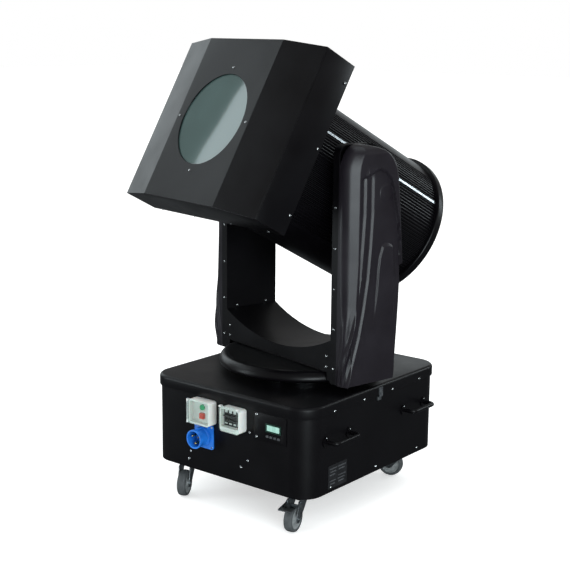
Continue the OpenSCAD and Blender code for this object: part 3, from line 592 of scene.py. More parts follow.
# %% Arm cover: section round the arm at one height
def section(z):
    """Points, outward directions and distances round the section, from the front edge to the back."""
    drop = max(0.0, (z - (ARM_TOP - TOP_R)) / TOP_R)
    outer = ARM_MID + (between(z, OUTER) - ARM_MID) * math.sqrt(max(0.0, 1 - drop * drop))
    crest = max(0.0, z - CREST_AT) / (ARM_TOP - CREST_AT)
    front = -HALF + CREST_DEEP * (1 - math.sqrt(max(0.0, 1 - crest ** 2)))
    back = between(z, BACK_EDGE)
    room = outer - ARM_MID
    size = room / COVER_W
    rf, rb = between(z, BAND_ROUND) * size, min(BACK_R, room)
    wide, ridge = between(z, BAND_WIDTH) * size, BAND_RIDGE * size
    along = Vector((math.cos(BAND), math.sin(BAND)))
    start = outer - rf * math.sin(BAND) - wide * along.x - ridge * (1 - math.sin(BAND))
    first = front + rf * (1 - math.cos(BAND)) + wide * along.y + ridge * math.cos(BAND)
    begin = first - rf * BAND - wide - ridge * (math.pi / 2 - BAND)
    last = back - rb
    rows = []
    for i in range(12):
        flat = (start - ARM_MID) * i / 12
        rows.append(((ARM_MID + flat, front), (0, -1), begin - (start - ARM_MID) + flat))
    for i in range(8):
        a = BAND * i / 8
        rows.append(((start + rf * math.sin(a), front + rf * (1 - math.cos(a))), (math.sin(a), -math.cos(a)),
                     begin + rf * a))
    corner = Vector((start + rf * math.sin(BAND), front + rf * (1 - math.cos(BAND))))
    for i in range(7):
        point = corner + wide * i / 7 * along
        rows.append((tuple(point), (math.sin(BAND), -math.cos(BAND)), begin + rf * BAND + wide * i / 7))
    corner = Vector((outer - ridge, first))
    for i in range(3):
        a = BAND + (math.pi / 2 - BAND) * i / 3
        rows.append(((corner.x + ridge * math.sin(a), corner.y - ridge * math.cos(a)),
                     (math.sin(a), -math.cos(a)), first - ridge * (math.pi / 2 - a)))
    for i in range(105):
        y = first + (last - first) * i / 105
        rows.append(((outer, y), (1, 0), y))
    for i in range(10):
        a = math.pi / 2 * i / 10
        away = (math.cos(a), math.sin(a))
        rows.append(((outer - rb + rb * away[0], last + rb * away[1]), away, last + i))
    for i in range(13):
        rows.append(((outer - rb - (room - rb) * i / 12, back), (0, 1), last + 10 + i * 3))
    return rows


COLUMNS = len(section(600)) - 1
ROWS = 210


def arm_cover(name):
    bpy.ops.object.select_all(action="DESELECT")
    bpy.ops.mesh.primitive_grid_add(x_subdivisions=COLUMNS, y_subdivisions=ROWS, size=2)
    obj = bpy.context.object
    sections = []
    for j in range(ROWS + 1):
        t = j / ROWS
        z = ARM_BASE + (ARM_TOP - ARM_BASE) * (1.12 * t - 0.12 * t ** 8)
        sections.append((z, section(z)))
    for vertex in obj.data.vertices:
        i = round((vertex.co.x + 1) / 2 * COLUMNS)
        j = round((vertex.co.y + 1) / 2 * ROWS)
        z, rows = sections[j]
        (x, y), (nx, ny), s = rows[i]
        edge = min(1.0, i / 6, (COLUMNS - i) / 8, (ARM_TOP - z) / 12)
        out = relief(s, z) * ease(edge)
        vertex.co = Vector(((x + nx * out), (y + ny * out), z)) * MM
    only(obj)
    bpy.ops.object.mode_set(mode="EDIT")
    bpy.ops.mesh.select_all(action="SELECT")
    bpy.ops.mesh.remove_doubles(threshold=0.00002)
    bpy.ops.mesh.normals_make_consistent(inside=False)
    bpy.ops.mesh.select_all(action="DESELECT")
    bpy.ops.object.mode_set(mode="OBJECT")
    for e in obj.data.edges:
        a, b = (obj.data.vertices[k].co for k in e.vertices)
        e.select = abs(a.z - ARM_BASE * MM) < 1e-5 and abs(b.z - ARM_BASE * MM) < 1e-5
    bpy.ops.object.mode_set(mode="EDIT")
    bpy.ops.mesh.select_mode(type="EDGE")
    bpy.ops.mesh.edge_face_add()
    bpy.ops.object.mode_set(mode="OBJECT")
    apply_modifier(obj, "SOLIDIFY", thickness=2.5 * MM, offset=-1, use_even_offset=False)
    obj.name = obj.data.name = name
    return obj


MIRROR = Matrix.Diagonal((-1, 1, 1, 1))


def right_way_out(obj):
    only(obj)
    bpy.ops.object.mode_set(mode="EDIT")
    bpy.ops.mesh.select_all(action="SELECT")
    bpy.ops.mesh.flip_normals()
    bpy.ops.object.mode_set(mode="OBJECT")
    return obj


cover = move(arm_cover("moulded_cover_right"), YOKE)
hand_over(cover, "yoke", "black_abs", "right_arm_cover", smooth=60)
cover = right_way_out(move(arm_cover("moulded_cover_left"), YOKE @ MIRROR))
hand_over(cover, "yoke", "black_abs", "left_arm_cover", smooth=60)


# %% [markdown]
# ## More helpers
# Two more tools cover most boxes and castings: rounding only chosen edges, as one would pick them by
# hand, and a box whose four edges along one axis are round.

# %% Round chosen edges, rounded boxes
def round_edges(obj, radius, segments, chosen):
    """Bevel only the edges whose two ends, in millimetres, pass the test."""
    only(obj)
    bpy.ops.object.mode_set(mode="EDIT")
    bpy.ops.mesh.select_mode(type="EDGE")
    bpy.ops.mesh.select_all(action="DESELECT")
    bpy.ops.object.mode_set(mode="OBJECT")
    for edge in obj.data.edges:
        a, b = (obj.data.vertices[k].co / MM for k in edge.vertices)
        edge.select = chosen(a, b)
    bpy.ops.object.mode_set(mode="EDIT")
    bpy.ops.mesh.bevel(offset=radius * MM, segments=segments, affect="EDGES")
    bpy.ops.object.mode_set(mode="OBJECT")
    return obj


def rounded_box(name, low, high, radius, axis, segments=8):
    """A box whose four edges along one axis (0, 1 or 2) are round."""
    obj = box(name, low, high)
    long = 0.9 * (high[axis] - low[axis])
    return round_edges(obj, radius, segments, lambda a, b: abs((a - b)[axis]) > long)


OUT_OF_FRONT = about(90, "X")
BASE_Y = -10
FRONT_Y = -325

# %% [markdown]
# ## Base lid
# The lid is a pressed or laid-up tray turned over: big upright corners, a soft upper edge and a skirt
# that laps over the walls. A cube gives it: first the four upright edges are rounded, then the upper
# rim, then the inside is cut away and the hole for the pan shaft is drilled.

# %% Base lid
lid = rounded_box("rounded_lid", (-285, -320, 325), (285, 320, 357), 65, 2, 18)
lid = round_edges(lid, 9, 6, lambda a, b: a.z > 356.5 and b.z > 356.5)
lid = round_edges(lid, 1.2, 2, lambda a, b: a.z < 325.5 and b.z < 325.5)
inside = rounded_box("lid_inside", (-280.5, -315.5, 320), (280.5, 315.5, 353), 60.5, 2, 18)
cut(lid, inside, rod("shaft_hole", 54, (0, -BASE_Y, 320), (0, -BASE_Y, 365), 64))
hand_over(move(lid, shift(0, BASE_Y, 0)), "base", "black_steel", "base_lid", smooth=30)

# %% [markdown]
# ## Turntable
# The disc under the yoke is spun or cast, so it is a profile turned round the pan axis: a flat top, a
# full round rim that falls inward, the hub that sits in the bearing and the hollow shaft below it.

# %% Turntable
disc = turned("turned_turntable", [
    (42, 316), (50, 316), (50, 357.5), (75, 357.5), (75, 372), (220, 372), (227, 373), (232, 375),
    (235.4, 378), (236.8, 382), (236.4, 386), (234.5, 391), (231.5, 396), (228, 400), (224, 402.6),
    (219, 404), (206, 404), (203, 402.8), (110, 402.8), (42, 402.8), (42, 316)], 128)
hand_over(disc, "yoke", "black_aluminium", "turntable", smooth=25)

# %% [markdown]
# ## Head front and box
# The front is one sheet with two folds, so it is drawn in plan as a thin bent line and raised to the
# head's height. The lens hole is cut, then every edge gets the small round of bent and filed sheet.
# The box behind is made the same way, as an outline less a smaller outline.

# %% Front panel
HW, PW, FRONT, BEVEL_Y, BOX_BACK, HEAD_H = 300, 160, 356, 322, 217, 472
front = plate("folded_front_panel", [(-HW, -BEVEL_Y + 3), (-HW, -BEVEL_Y), (-PW, -FRONT), (PW, -FRONT),
                                     (HW, -BEVEL_Y), (HW, -BEVEL_Y + 3), (PW, -FRONT + 3), (-PW, -FRONT + 3)],
              HEAD_H)
move(front, shift(0, 0, -HEAD_H / 2))
cut(front, rod("lens_hole", 131, (0, -FRONT - 5, 0), (0, -FRONT + 8, 0), 128))
soften(front, 0.9, 2, 10)
hand_over(move(front, HEAD), "head", "black_aluminium", "front_panel", smooth=8)

# %% Head box
shell = plate("folded_head_box", [(-HW, -BOX_BACK), (HW, -BOX_BACK), (HW, -BEVEL_Y + 3.3), (PW, -FRONT + 3.3),
                                  (-PW, -FRONT + 3.3), (-HW, -BEVEL_Y + 3.3)], HEAD_H)
hollow = plate("box_inside", [(-HW + 3, -BOX_BACK - 3), (HW - 3, -BOX_BACK - 3), (HW - 3, -BEVEL_Y - 3),
                              (PW, -FRONT - 3), (-PW, -FRONT - 3), (-HW + 3, -BEVEL_Y - 3)], HEAD_H - 6)
cut(shell, move(hollow, shift(0, 0, 3)),
    rod("drum_hole", 187, (0, -BOX_BACK - 8, HEAD_H / 2), (0, -BOX_BACK + 8, HEAD_H / 2), 96))
move(shell, shift(0, 0, -HEAD_H / 2))
soften(shell, 0.9, 2, 30)
hand_over(move(shell, HEAD), "head", "black_aluminium", "head_box", smooth=30)

# %% [markdown]
# ## Drum
# The drum is made of extruded cooling sections bolted together. An extrusion has one outline all the
# way along, so its outline is drawn once and pulled to length: fine ribs on both sides, a land as wide
# as one rib where two sections meet, and a plain band above and below. The bore is cut after.

# %% Drum outline
RIBS = 144
DRUM_R, RIB_H = 207, 3.4
LAND_AT, LAND_HALF = 25, 0.9
PLAIN = 52


def drum_outline():
    """Outline points round the drum. Zero degrees is the head's right side, ninety its top."""
    points = []
    for i in range(RIBS):
        at = i * 360 / RIBS
        folded = abs((at + 90) % 180 - 90)
        side_up = at if at < 180 else at - 360
        near_land = min(abs(side_up - LAND_AT), abs(side_up - (180 - LAND_AT)))
        step = 360 / RIBS
        if near_land < LAND_HALF or folded > PLAIN:
            shape = [(-0.5, DRUM_R - 0.8), (0.0, DRUM_R - 0.8)]
            if near_land < LAND_HALF:
                shape = [(-0.56, DRUM_R - 0.3), (0.0, DRUM_R), (0.56, DRUM_R - 0.3)]
        else:
            shape = [(-0.34, DRUM_R - RIB_H), (-0.2, DRUM_R - 0.4), (0.0, DRUM_R), (0.2, DRUM_R - 0.4),
                     (0.34, DRUM_R - RIB_H)]
        for offset, radius in shape:
            turn_by = math.radians(at + offset * step)
            points.append((radius * math.cos(turn_by), radius * math.sin(turn_by)))
    return points


LENGTH = BOX_BACK + 371 - 26
drum = plate("ribbed_drum", drum_outline(), LENGTH)
move(drum, shift(0, LENGTH - BOX_BACK, 0) @ about(90, "X"))
bosses = box("trunnion_bosses", (-211, -45, -45), (211, 45, 45))
round_edges(bosses, 6, 3, lambda a, b: abs(a.x - b.x) > 100)
apply_modifier(drum, "BOOLEAN", operation="UNION", object=bosses, solver="EXACT")
bpy.data.objects.remove(bosses)
cut(drum, rod("drum_bore", 199, (0, -BOX_BACK - 5, 0), (0, LENGTH, 0), 128),
    rod("axle_hole", 20, (-300, 0, 0), (300, 0, 0), 48))
hand_over(move(drum, HEAD), "head", "black_aluminium", "drum", smooth=20)

# %% [markdown]
# ## Painted highlight strips
# Where two cooling sections meet, the flat land down each side of the drum catches the light as a bright
# line. That highlight is painted: a narrow bright zinc-plated bar lies on the land, turned to its angle.

# %% Painted highlight strips
# Each bright zinc bar is a painted highlight along one land of the drum
strips = []
for i, angle in enumerate((LAND_AT, 180 - LAND_AT)):
    strip = box(f"painted_highlight_strip_{i}", (DRUM_R + 0.1, -BOX_BACK + 4, -3.6),
                (DRUM_R + 0.7, LENGTH - BOX_BACK - 4, 3.6))
    strips.append(move(strip, about(-angle, "Y")))
hand_over(move(join("painted_highlight_strips", *strips), HEAD), "head", "zinc_steel", smooth=30)

# %% [markdown]
# ## Lens
# The window is a disc of toughened glass, ground with a small chamfer and domed by a hair so that the
# studio's reflection bends slightly as it does in real tempered glass. It is turned from its profile.

# %% Lens glass
lens = turned("toughened_lens", [(0, 0), (139, 0), (140, 1), (140, 5), (139, 6), (120, 6.2), (90, 6.6),
                                 (60, 6.85), (30, 6.97), (0, 7)], 96)
LENS_BACK = shift(0, -346, 0) @ about(90, "X")
hand_over(move(lens, HEAD @ LENS_BACK), "head", "lens_glass", "lens_glass", smooth=30)

# %% [markdown]
# ## Rear end
# A cast ring closes the drum. It is turned, with a rounded outer rim and a step that holds the slotted
# back plate. The fan behind the slots is a hub with seven pitched blades.

# %% Rear ring
ring = turned("cast_rear_ring", [(185, 0), (214, 0), (216.6, 0.6), (217.8, 2.4), (218, 6), (218, 20),
                                 (217.2, 23), (214.6, 25.2), (211, 26), (197, 26), (195.4, 25.4), (195, 24),
                                 (195, 18), (185, 18), (185, 0)], 128)
move(ring, HEAD @ shift(0, 345, 0) @ about(-90, "X"))
hand_over(ring, "head", "black_aluminium", "rear_ring", smooth=30)

# %% [markdown]
# ### Rear cover
# The air leaves through straight slots, each milled with a round end. A row of rounded bars is cut out
# of a disc; every bar is as long as the disc allows at its height. The fan's seat is on the inside.

# %% Slotted rear cover
back = turned("slotted_rear_cover", [(0, 0), (194.4, 0), (195, 0.6), (195, 3.4), (194.4, 4), (0, 4)], 96)
slots = []
SLOT_STEP, SLOT_CIRCLE = 24, 150
for i in range(-5, 6):
    y = SLOT_STEP * i
    half = math.sqrt(SLOT_CIRCLE ** 2 - y ** 2)
    slots.append(rounded_box("slot", (-half, y - 4, -2), (half, y + 4, 6), 3.9, 2, 4))
cut(back, join("slots", *slots))
hub = turned("fan_seat", [(0, -8), (29, -8), (30, -7), (30, 1), (0, 1)], 48)
spindle = rod("fan_spindle", 4, (0, 0, -43), (0, 0, -4), 24)
back = join("slotted_rear_cover", back, hub, spindle)
soften(back, 0.4, 1, 60)
move(back, HEAD @ shift(0, 363, 0) @ about(-90, "X"))
hand_over(back, "head", "black_aluminium", "rear_cover", smooth=30)

# %% [markdown]
# ### Fan
# A moulded fan: a turned hub, and one blade with round corners that is pitched and repeated round it.

# %% Fan
BLADES = 7
hub = turned("fan_hub", [(4.05, 0), (33, 0), (34, 1), (34, 23), (32.5, 24), (4.05, 24), (4.05, 0)], 48)
blades = []
for i in range(BLADES):
    blade = rounded_box("blade", (30, -22, -1.4), (147, 22, 1.4), 9, 2, 4)
    move(blade, about(360 / BLADES * i, "Z") @ shift(0, 0, 12) @ about(32, "X"))
    blades.append(blade)
fan = join("seven_blade_fan", hub, *blades)
move(fan, HEAD @ shift(0, 318, 0) @ about(-90, "X"))
hand_over(fan, "fan_rotor", "black_plastic", "fan_rotor", smooth=35)

# %% [markdown]
# ## Switch boxes
# Two moulded boxes stand on the control face: a motor starter with a green and a red button, and a
# circuit breaker under a clear lid. Each is a rounded block with its inside milled away. The lid turns
# on a moulded barrel and a pin between two knuckles.

# %% Hinge halves
def knuckles(length):
    """The box's half of a hinge, along Z, with the lid towards +X."""
    parts = [rod("hinge_pin", 1.1, (0, 0, 0), (0, 0, length), 16)]
    for z in (0, length - 8):
        parts.append(rod("knuckle", 2.5, (0, 0, z), (0, 0, z + 8), 20))
        parts.append(box("knuckle_foot", (-2.5, 0, z), (2.5, 6, z + 8)))
        parts.append(box("knuckle_web", (0, 2.5, z), (3.8, 6, z + 8)))
    return join("knuckles", *parts)


def lid_with_barrel(name, reach, length):
    """A clear lid whose corners are round, with a raised rim and its barrel."""
    sheet = rounded_box(name, (2.8, -1.5, 0), (2.8 + reach, 1.5, length), 6, 1, 6)
    well = rounded_box("well", (2.8 + 6, -3, 6), (2.8 + reach - 6, -0.7, length - 6), 4, 1, 5)
    cut(sheet, well)
    soften(sheet, 0.5, 2, 60)
    barrel = rod("barrel", 2.5, (0, 0, 8.3), (0, 0, length - 8.3), 20)
    web = box("web", (0, -1.5, 8.3), (4, 1.5, length - 8.3))
    apply_modifier(barrel, "BOOLEAN", operation="UNION", object=web, solver="EXACT")
    bpy.data.objects.remove(web)
    apply_modifier(sheet, "BOOLEAN", operation="UNION", object=barrel, solver="EXACT")
    bpy.data.objects.remove(barrel)
    return cut(sheet, rod("pin_hole", 1.15, (0, 0, -1), (0, 0, length + 1), 16))


HINGE_Y = FRONT_Y - 32.8
LEFT_HINGE = shift(-112 - 2.8, HINGE_Y, 252)
TOP_HINGE = shift(3, HINGE_Y, 320 + 2.8) @ about(90, "Y")

# %% Starter box and its buttons
case = rounded_box("starter_box_moulding", (-112, FRONT_Y - 31, 252), (-36, FRONT_Y, 320), 7, 1, 8)
mouth = rounded_box("mouth", (-108, FRONT_Y - 40, 256), (-40, FRONT_Y - 14, 316), 4, 1, 6)
cut(case, mouth, rod("green_hole", 8.3, (-74, FRONT_Y - 20, 298), (-74, FRONT_Y - 5, 298), 40),
    box("red_hole", (-82.3, FRONT_Y - 20, 265.7), (-65.7, FRONT_Y - 5, 282.3)))
soften(case, 0.7, 2, 50)
case = join("starter_box_moulding", case, move(knuckles(68), LEFT_HINGE))
hand_over(case, "base", "white_plastic", "starter_box", smooth=30)
lid = move(lid_with_barrel("starter_lid", 76, 68), LEFT_HINGE)
hand_over(lid, "starter_cover", "clear_plastic", "starter_cover", smooth=30)
green = turned("green_start_button", [(0, 0), (8, 0), (8, 8.6), (7.5, 9.6), (6.4, 10), (0, 10)], 40)
move(green, shift(-74, FRONT_Y - 9, 298) @ OUT_OF_FRONT)
hand_over(green, "start_button", "green_plastic", "start_button")
red = rounded_box("red_stop_button", (-82, FRONT_Y - 21, 266), (-66, FRONT_Y - 9, 282), 2, 1, 4)
soften(red, 0.8, 2, 50)
hand_over(red, "stop_button", "red_plastic", "stop_button", smooth=40)

# %% [markdown]
# ### Breaker box
# The box is made like the first one. The breaker inside is four narrow poles side by side with a slot
# for the common lever, and small blank labels above and below it. Its lid opens upward.

# %% Breaker box, breaker and lid
case = rounded_box("breaker_box_moulding", (3, FRONT_Y - 31, 254), (73, FRONT_Y, 320), 8, 1, 8)
mouth = rounded_box("mouth", (7, FRONT_Y - 40, 266), (69, FRONT_Y - 2, 316), 3, 1, 5)
cut(case, mouth)
soften(case, 0.7, 2, 50)
case = join("breaker_box_moulding", case, move(knuckles(70), TOP_HINGE))
hand_over(case, "base", "white_plastic", "breaker_box", smooth=30)
lid = move(lid_with_barrel("breaker_lid", 66, 70), TOP_HINGE)
hand_over(lid, "breaker_cover", "clear_plastic", "breaker_cover", smooth=30)

LEVER_Z = 266.3 + 49.4 / 2
POLE_X, POLE_STEP = 7.3, 15.35
poles = []
for i in range(4):
    x0 = POLE_X + i * POLE_STEP
    pole = box("pole", (x0 + 0.15, FRONT_Y - 16.4, 266.3), (x0 + 15.2, FRONT_Y - 2, 315.7))
    soften(pole, 0.6, 2, 50)
    poles.append(pole)
breaker = join("four_pole_breaker", *poles)
cut(breaker, box("lever_slot", (11.3, FRONT_Y - 20, LEVER_Z - 8), (64.7, FRONT_Y - 5, LEVER_Z + 8)))
paint(breaker, grained_plastic)
labels = []
for i in range(4):
    x0 = POLE_X + i * POLE_STEP
    for low, high in ((LEVER_Z + 12, LEVER_Z + 19), (LEVER_Z - 20, LEVER_Z - 16)):
        labels.append(box("blank_label", (x0 + 3, FRONT_Y - 17, low), (x0 + 12.5, FRONT_Y - 16, high)))
label_row = paint(join("blank_labels", *labels), white_plastic)
hand_over(join("four_pole_breaker", breaker, label_row), "base", "grey_plastic", "breaker_block", smooth=30)

# %% [markdown]
# ## Mains inlet
# A round shroud with a lipped mouth stands on a square flange. The shroud is turned, and the key that
# lets the plug in one way only is a small block on top. The three pins stand on a circle inside.

# %% Mains inlet
inlet = rounded_box("inlet_flange", (-115, FRONT_Y - 4, 177), (-45, FRONT_Y, 247), 7, 1, 6)
soften(inlet, 0.6, 2, 50)
shroud = turned("inlet_shroud", [(0, 0), (24.5, 0), (24.5, 6), (26.7, 7), (26.7, 13), (25.3, 14), (25.3, 38),
                                 (26.7, 39), (26.7, 45.2), (26, 46), (23.6, 46), (22.5, 45), (22.5, 12),
                                 (0, 12)], 64)
move(shroud, shift(-80, FRONT_Y, 212) @ OUT_OF_FRONT)
key = box("key", (-85, FRONT_Y - 34, 236), (-75, FRONT_Y - 4, 241.7))
soften(key, 0.8, 2, 50)
inlet = paint(join("mains_inlet", inlet, shroud, key), blue_plastic)
pins = []
for i in range(3):
    angle = math.radians(90 + 120 * i)
    x, z = -80 + 13 * math.cos(angle), 212 - 13 * math.sin(angle)
    radius = 3.5 if i == 0 else 2.5
    pin = turned("contact_pin", [(0, 3), (radius, 3), (radius, 39), (radius - 0.8, 40), (0, 40)], 24)
    pins.append(move(pin, shift(x, FRONT_Y, z) @ OUT_OF_FRONT))
pins = paint(join("contact_pins", *pins), brass)
hand_over(join("mains_inlet", inlet, pins), "base", "blue_plastic", "power_inlet", smooth=35)

# %% [markdown]
# ## Control panel
# A small plate carries the display and four keys. The plate is cut for the keys; the display sits in a
# dark green frame; each key is a separate cap that can be pressed.

# %% Control panel, display and keys
panel = rounded_box("control_plate", (100, FRONT_Y - 2, 244), (212, FRONT_Y, 320), 3, 1, 4)
KEYS = (148, 161, 174, 187)
cut(panel, *[box("key_hole", (x - 4.3, FRONT_Y - 4, 256.7), (x + 4.3, FRONT_Y + 2, 263.3)) for x in KEYS])
soften(panel, 0.4, 2, 50)
hand_over(panel, "base", "black_steel", "control_panel", smooth=30)
bezel = rounded_box("display_frame", (141, FRONT_Y - 3, 272), (194, FRONT_Y - 2, 296), 2, 1, 4)
cut(bezel, box("window_hole", (146, FRONT_Y - 5, 276), (189, FRONT_Y + 1, 292)))
bezel_paint, tree, shader, place = surface("dark_green_bezel", "#0d2a22", 0.35)
blotched(tree, shader, place, 12, "#0b241d", "#113429", 0.3, 0.42)
paint(bezel, bezel_paint)
glass = paint(box("display_glass", (146, FRONT_Y - 2.6, 276), (189, FRONT_Y - 2, 292)), display)
hand_over(join("backlit_display", glass, bezel), "base", "display_glass", "display_window", smooth=30)
for i, x in enumerate(KEYS):
    cap = rounded_box("key_cap_%d" % (i + 1), (x - 4, FRONT_Y - 5, 257), (x + 4, FRONT_Y + 4, 263), 1.2, 1, 3)
    soften(cap, 0.5, 2, 50)
    hand_over(cap, "menu_button_%d" % (i + 1), "grey_plastic", "menu_button_%d" % (i + 1), smooth=30)

# %% [markdown]
# ## Castors
# A swivel castor is a pressed fork under a ball race. The wheel is a nylon core with a grey rubber tyre
# moulded round it, turned here as two pieces. Each fork leg is a flat blank with its edges rounded, and
# the axle is a bolt with a hexagon head and a nut.

# %% Castor wheels
# x, y from the base's centre, and the way the wheel trails, in degrees
CASTORS = ((205, -250, 12), (-205, -250, 25), (205, 250, -75), (-205, 250, 40))
AXLE_Y, AXLE_Z = -36, 37.5


def castor_place(n):
    x, y, heading = CASTORS[n]
    return shift(x, y + BASE_Y, 0) @ about(heading, "Z")


for n in range(4):
    tyre = turned("tyre", [(28.5, -11), (29.5, -12.5), (33, -12.4), (35.6, -11), (36.9, -8), (37.4, -4),
                           (37.5, 0), (37.4, 4), (36.9, 8), (35.6, 11), (33, 12.4), (29.5, 12.5), (28.5, 11),
                           (28.5, -11)], 64)
    paint(tyre, tread_rubber)
    core = turned("core", [(4.05, -14.7), (10.4, -14.7), (11, -14), (11.6, -9.5), (13, -8.6), (24, -8.6),
                           (25.6, -10.4), (28.5, -10.8), (28.5, 10.8), (25.6, 10.4), (24, 8.6), (13, 8.6),
                           (11.6, 9.5), (11, 14), (10.4, 14.7), (4.05, 14.7), (4.05, -14.7)], 48)
    paint(core, hub_nylon)
    node = "castor_wheel_%d" % (n + 1)
    wheel = join(node + "_moulding", tyre, core)
    move(wheel, castor_place(n) @ shift(0, AXLE_Y, AXLE_Z) @ about(90, "Y"))
    hand_over(wheel, node, "tyre_grey", node, smooth=35)

# %% [markdown]
# ### Castor forks
# Each leg is a plate with its edges rounded. The two are joined to a turned crown, which holds the ball
# race, and the axle bolt goes through them. The front right fork also has the brake's two pivots.

# %% Castor forks
LEG = [(-20, 90), (-37, 85), (-37, 76), (-45.5, 45), (-48, 40), (-48, 34), (-44, 28), (-38, 25.6),
       (-32, 26.2), (-27, 30), (-24.4, 34), (18, 80), (20, 84), (20, 90)]
for n in range(4):
    legs = []
    for side in (-1, 1):
        leg = plate("leg", LEG, 2.5)
        soften(leg, 0.5, 2, 50)
        move(leg, shift(15 * side - (2.5 if side < 0 else 0), 0, 0) @ about(90, "Z") @ about(90, "X"))
        legs.append(leg)
    crown = turned("crown", [(6.05, 84), (18, 84), (22.5, 85), (24, 87), (24, 92.6), (23.2, 93.7),
                             (6.05, 93.7), (6.05, 84)], 48)
    bolt = rod("axle_bolt", 4, (-18, AXLE_Y, AXLE_Z), (18, AXLE_Y, AXLE_Z), 24)
    head = rod("bolt_head", 6.5, (17.5, AXLE_Y, AXLE_Z), (20.5, AXLE_Y, AXLE_Z), 6)
    nut = rod("nut", 6.5, (-20.5, AXLE_Y, AXLE_Z), (-17.5, AXLE_Y, AXLE_Z), 6)
    parts = [crown, bolt, soften(head, 0.4, 1, 50), soften(nut, 0.4, 1, 50)] + legs
    if n == 0:
        for side in (-1, 1):
            x = side * 18.5
            parts.append(rod("brake_pivot", 2.5, (x - 3.5, -30, 82), (x + 3.5, -30, 82), 16))
    node = "castor_fork_%d" % (n + 1)
    fork = join(node + "_pressing", *parts)
    hand_over(move(fork, castor_place(n)), node, "zinc_steel", node, smooth=35)

# %% [markdown]
# ### Castor brake
# The pedal is one pressing: a tread the foot steps on, with an ear folded down at each side. The ears
# are bored for the pivots before they are joined to the tread.

# %% Castor brake
EAR = [(-30, 88), (-25, 86), (-24, 82), (-26, 77.5), (-30, 76), (-36, 77), (-84, 72.4), (-84, 77), (-44, 81)]
ears = []
for side in (-1, 1):
    ear = plate("ear", EAR, 2.5)
    cut(ear, rod("pivot_hole", 2.55, (-30, 82, -5), (-30, 82, 8), 24))
    soften(ear, 0.4, 2, 50)
    move(ear, shift(17.8 * side - (2.5 if side < 0 else 0), 0, 0) @ about(90, "Z") @ about(90, "X"))
    ears.append(ear)
tread = plate("tread", [(-44, 78), (-88, 73), (-88, 76), (-44, 81)], 40.6)
move(tread, shift(-20.3, 0, 0) @ about(90, "Z") @ about(90, "X"))
soften(tread, 0.8, 2, 50)
pedal = join("castor_brake_pressing", tread, *ears)
hand_over(move(pedal, castor_place(0)), "castor_brake", "zinc_steel", "castor_brake", smooth=35)

# %% [markdown]
# ## Screws
# All visible screws are domed heads with a cross recess, so one head is turned, the cross is cut into
# it, and copies of its mesh are put at each place and joined body by body.

# %% Cross-recess screw heads
def screw_mesh():
    head = turned("screw_head", [(0, 0), (3.6, 0), (3.7, 0.7), (3.0, 1.7), (1.9, 2.3), (0, 2.5)], 14)
    across = box("slot_across", (-2.0, -0.4, 1.3), (2.0, 0.4, 4))
    upright_slot = box("slot_upright", (-0.4, -2.0, 1.3), (0.4, 2.0, 4))
    return cut(head, across, upright_slot)


pattern_screw = screw_mesh()


def screw(place, facing, size=1.0):
    """A copy of the pattern screw standing on a face: front, back, right, left, up or down."""
    turn_to = {"front": about(90, "X"), "back": about(-90, "X"), "right": about(90, "Y"),
               "left": about(-90, "Y"), "up": FLAT, "down": about(180, "X")}[facing]
    copy = pattern_screw.copy()
    copy.data = pattern_screw.data.copy()
    bpy.context.scene.collection.objects.link(copy)
    return move(copy, shift(*place) @ turn_to @ Matrix.Scale(size, 4))


# %% Screws of the base
base_heads = []
for side, facing in ((1, "right"), (-1, "left")):
    for y in (-210, 0, 210):
        base_heads.append(screw((side * 280, y + BASE_Y, 119), facing))
    for y in (-204, -68, 68, 204):
        base_heads.append(screw((side * 285, y + BASE_Y, 331), facing))
    for y in (-182, 186):
        for step in (-52, 52):
            base_heads.append(screw((side * 283, y + BASE_Y + step, 263), facing, 0.6))
for x, z in ((110, 314), (110, 252)):
    base_heads.append(screw((x, FRONT_Y - 2, z), "front"))
for x, z in ((84, 256), (78, 175), (53, 151), (-133, 155), (-140, 131)):
    base_heads.append(screw((x, FRONT_Y, z), "front"))
for x in (-109, -51):
    for z in (183, 241):
        base_heads.append(screw((x, FRONT_Y - 4, z), "front", 0.75))
hand_over(join("base_screw_heads", *base_heads), "base", "screw_steel", "base_screws", smooth=30)

# %% Screws of the yoke
yoke_heads = []
for side in (-1, 1):
    for y, facing in ((-92, "front"), (92, "back")):
        for i in range(5):
            yoke_heads.append(screw((side * 250, y, 420 + 110 * i), facing))
        for z in (420, 450):
            yoke_heads.append(screw((side * 222, y, z), facing))
    for y in (-54, 54):
        yoke_heads.append(screw((side * 238, y, 505), "left" if side > 0 else "right"))
yoke_heads = move(join("yoke_screw_heads", *yoke_heads), YOKE)
hand_over(yoke_heads, "yoke", "screw_steel", "yoke_screws", smooth=30)

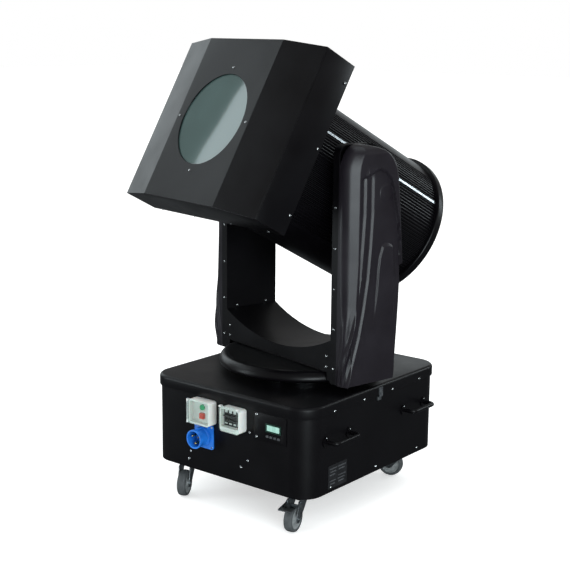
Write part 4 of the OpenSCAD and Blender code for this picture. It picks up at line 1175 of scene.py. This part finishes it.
# %% Screws of the head
head_heads = []
for x, z in ((150, 0), (0, 150), (-150, 0), (0, -150)):
    head_heads.append(screw((x, -FRONT, z), "front"))
for side, facing in ((1, "right"), (-1, "left")):
    for z in (-184, 0, 184):
        head_heads.append(screw((side * 300, -BOX_BACK - 9, z), facing))
    for x in (85, 245):
        head_heads.append(screw((side * x, -BOX_BACK - 9, 236), "up"))
        head_heads.append(screw((side * x, -BOX_BACK - 9, -236), "down"))
head_heads = move(join("head_screw_heads", *head_heads), HEAD)
hand_over(head_heads, "head", "screw_steel", "head_screws", smooth=30)
bpy.data.objects.remove(pattern_screw)

# %% [markdown]
# ## Rating plate
# A thin plate is riveted to the right wall. Its printing is left out; plain raised bars stand for the
# rows of a rating table.

# %% Rating plate
rating = rounded_box("rating_plate", (280, -232, 115), (280.8, -149, 180), 3, 0, 4)
paint(rating, motor_paint)
bars = []
for row in range(6):
    z = 170 - row * 8.5
    for column, (low, high) in enumerate(((-226, -194), (-190, -155))):
        if (row + column) % 4 != 3:
            near, far = low + 3 * (row % 2), high - 4 * (row % 3)
            bars.append(box("bar", (280.7, near, z - 1.6), (281.1, far, z + 1.6)))
bars = paint(join("bars", *bars), grey_plastic)
hand_over(join("rating_plate", rating, bars), "base", "motor_black", smooth=30)

# %% [markdown]
# ## Floor
# The floor is one plane. It glows a little for the camera only, so that it runs into the white room
# without a line, and it is darker in reflections, so that it does not wash out the black paint.

# %% Floor
bpy.ops.object.select_all(action="DESELECT")
bpy.ops.mesh.primitive_plane_add(size=60, location=(0, 0, 0))
floor = bpy.context.object
floor.name = "studio_floor"
pale_floor, tree, shader, place = surface("pale_studio_floor", "#f4f4f3", 0.7, Specular_IOR_Level=0.1)
rays = add(tree, "ShaderNodeLightPath")
shade = add(tree, "ShaderNodeMixRGB", {"Fac": rays.outputs["Is Glossy Ray"], "Color1": colour("#f4f4f3"),
                                       "Color2": colour("#4c4e50")})
tree.links.new(shade.outputs["Color"], shader.inputs["Base Color"])
shader.inputs["Emission Color"].default_value = colour("#ffffff")
glow = add(tree, "ShaderNodeMapRange", {"Value": rays.outputs["Is Camera Ray"], "To Min": 0.0,
                                        "To Max": 0.45})
tree.links.new(glow.outputs["Result"], shader.inputs["Emission Strength"])
floor.data.materials.append(pale_floor)
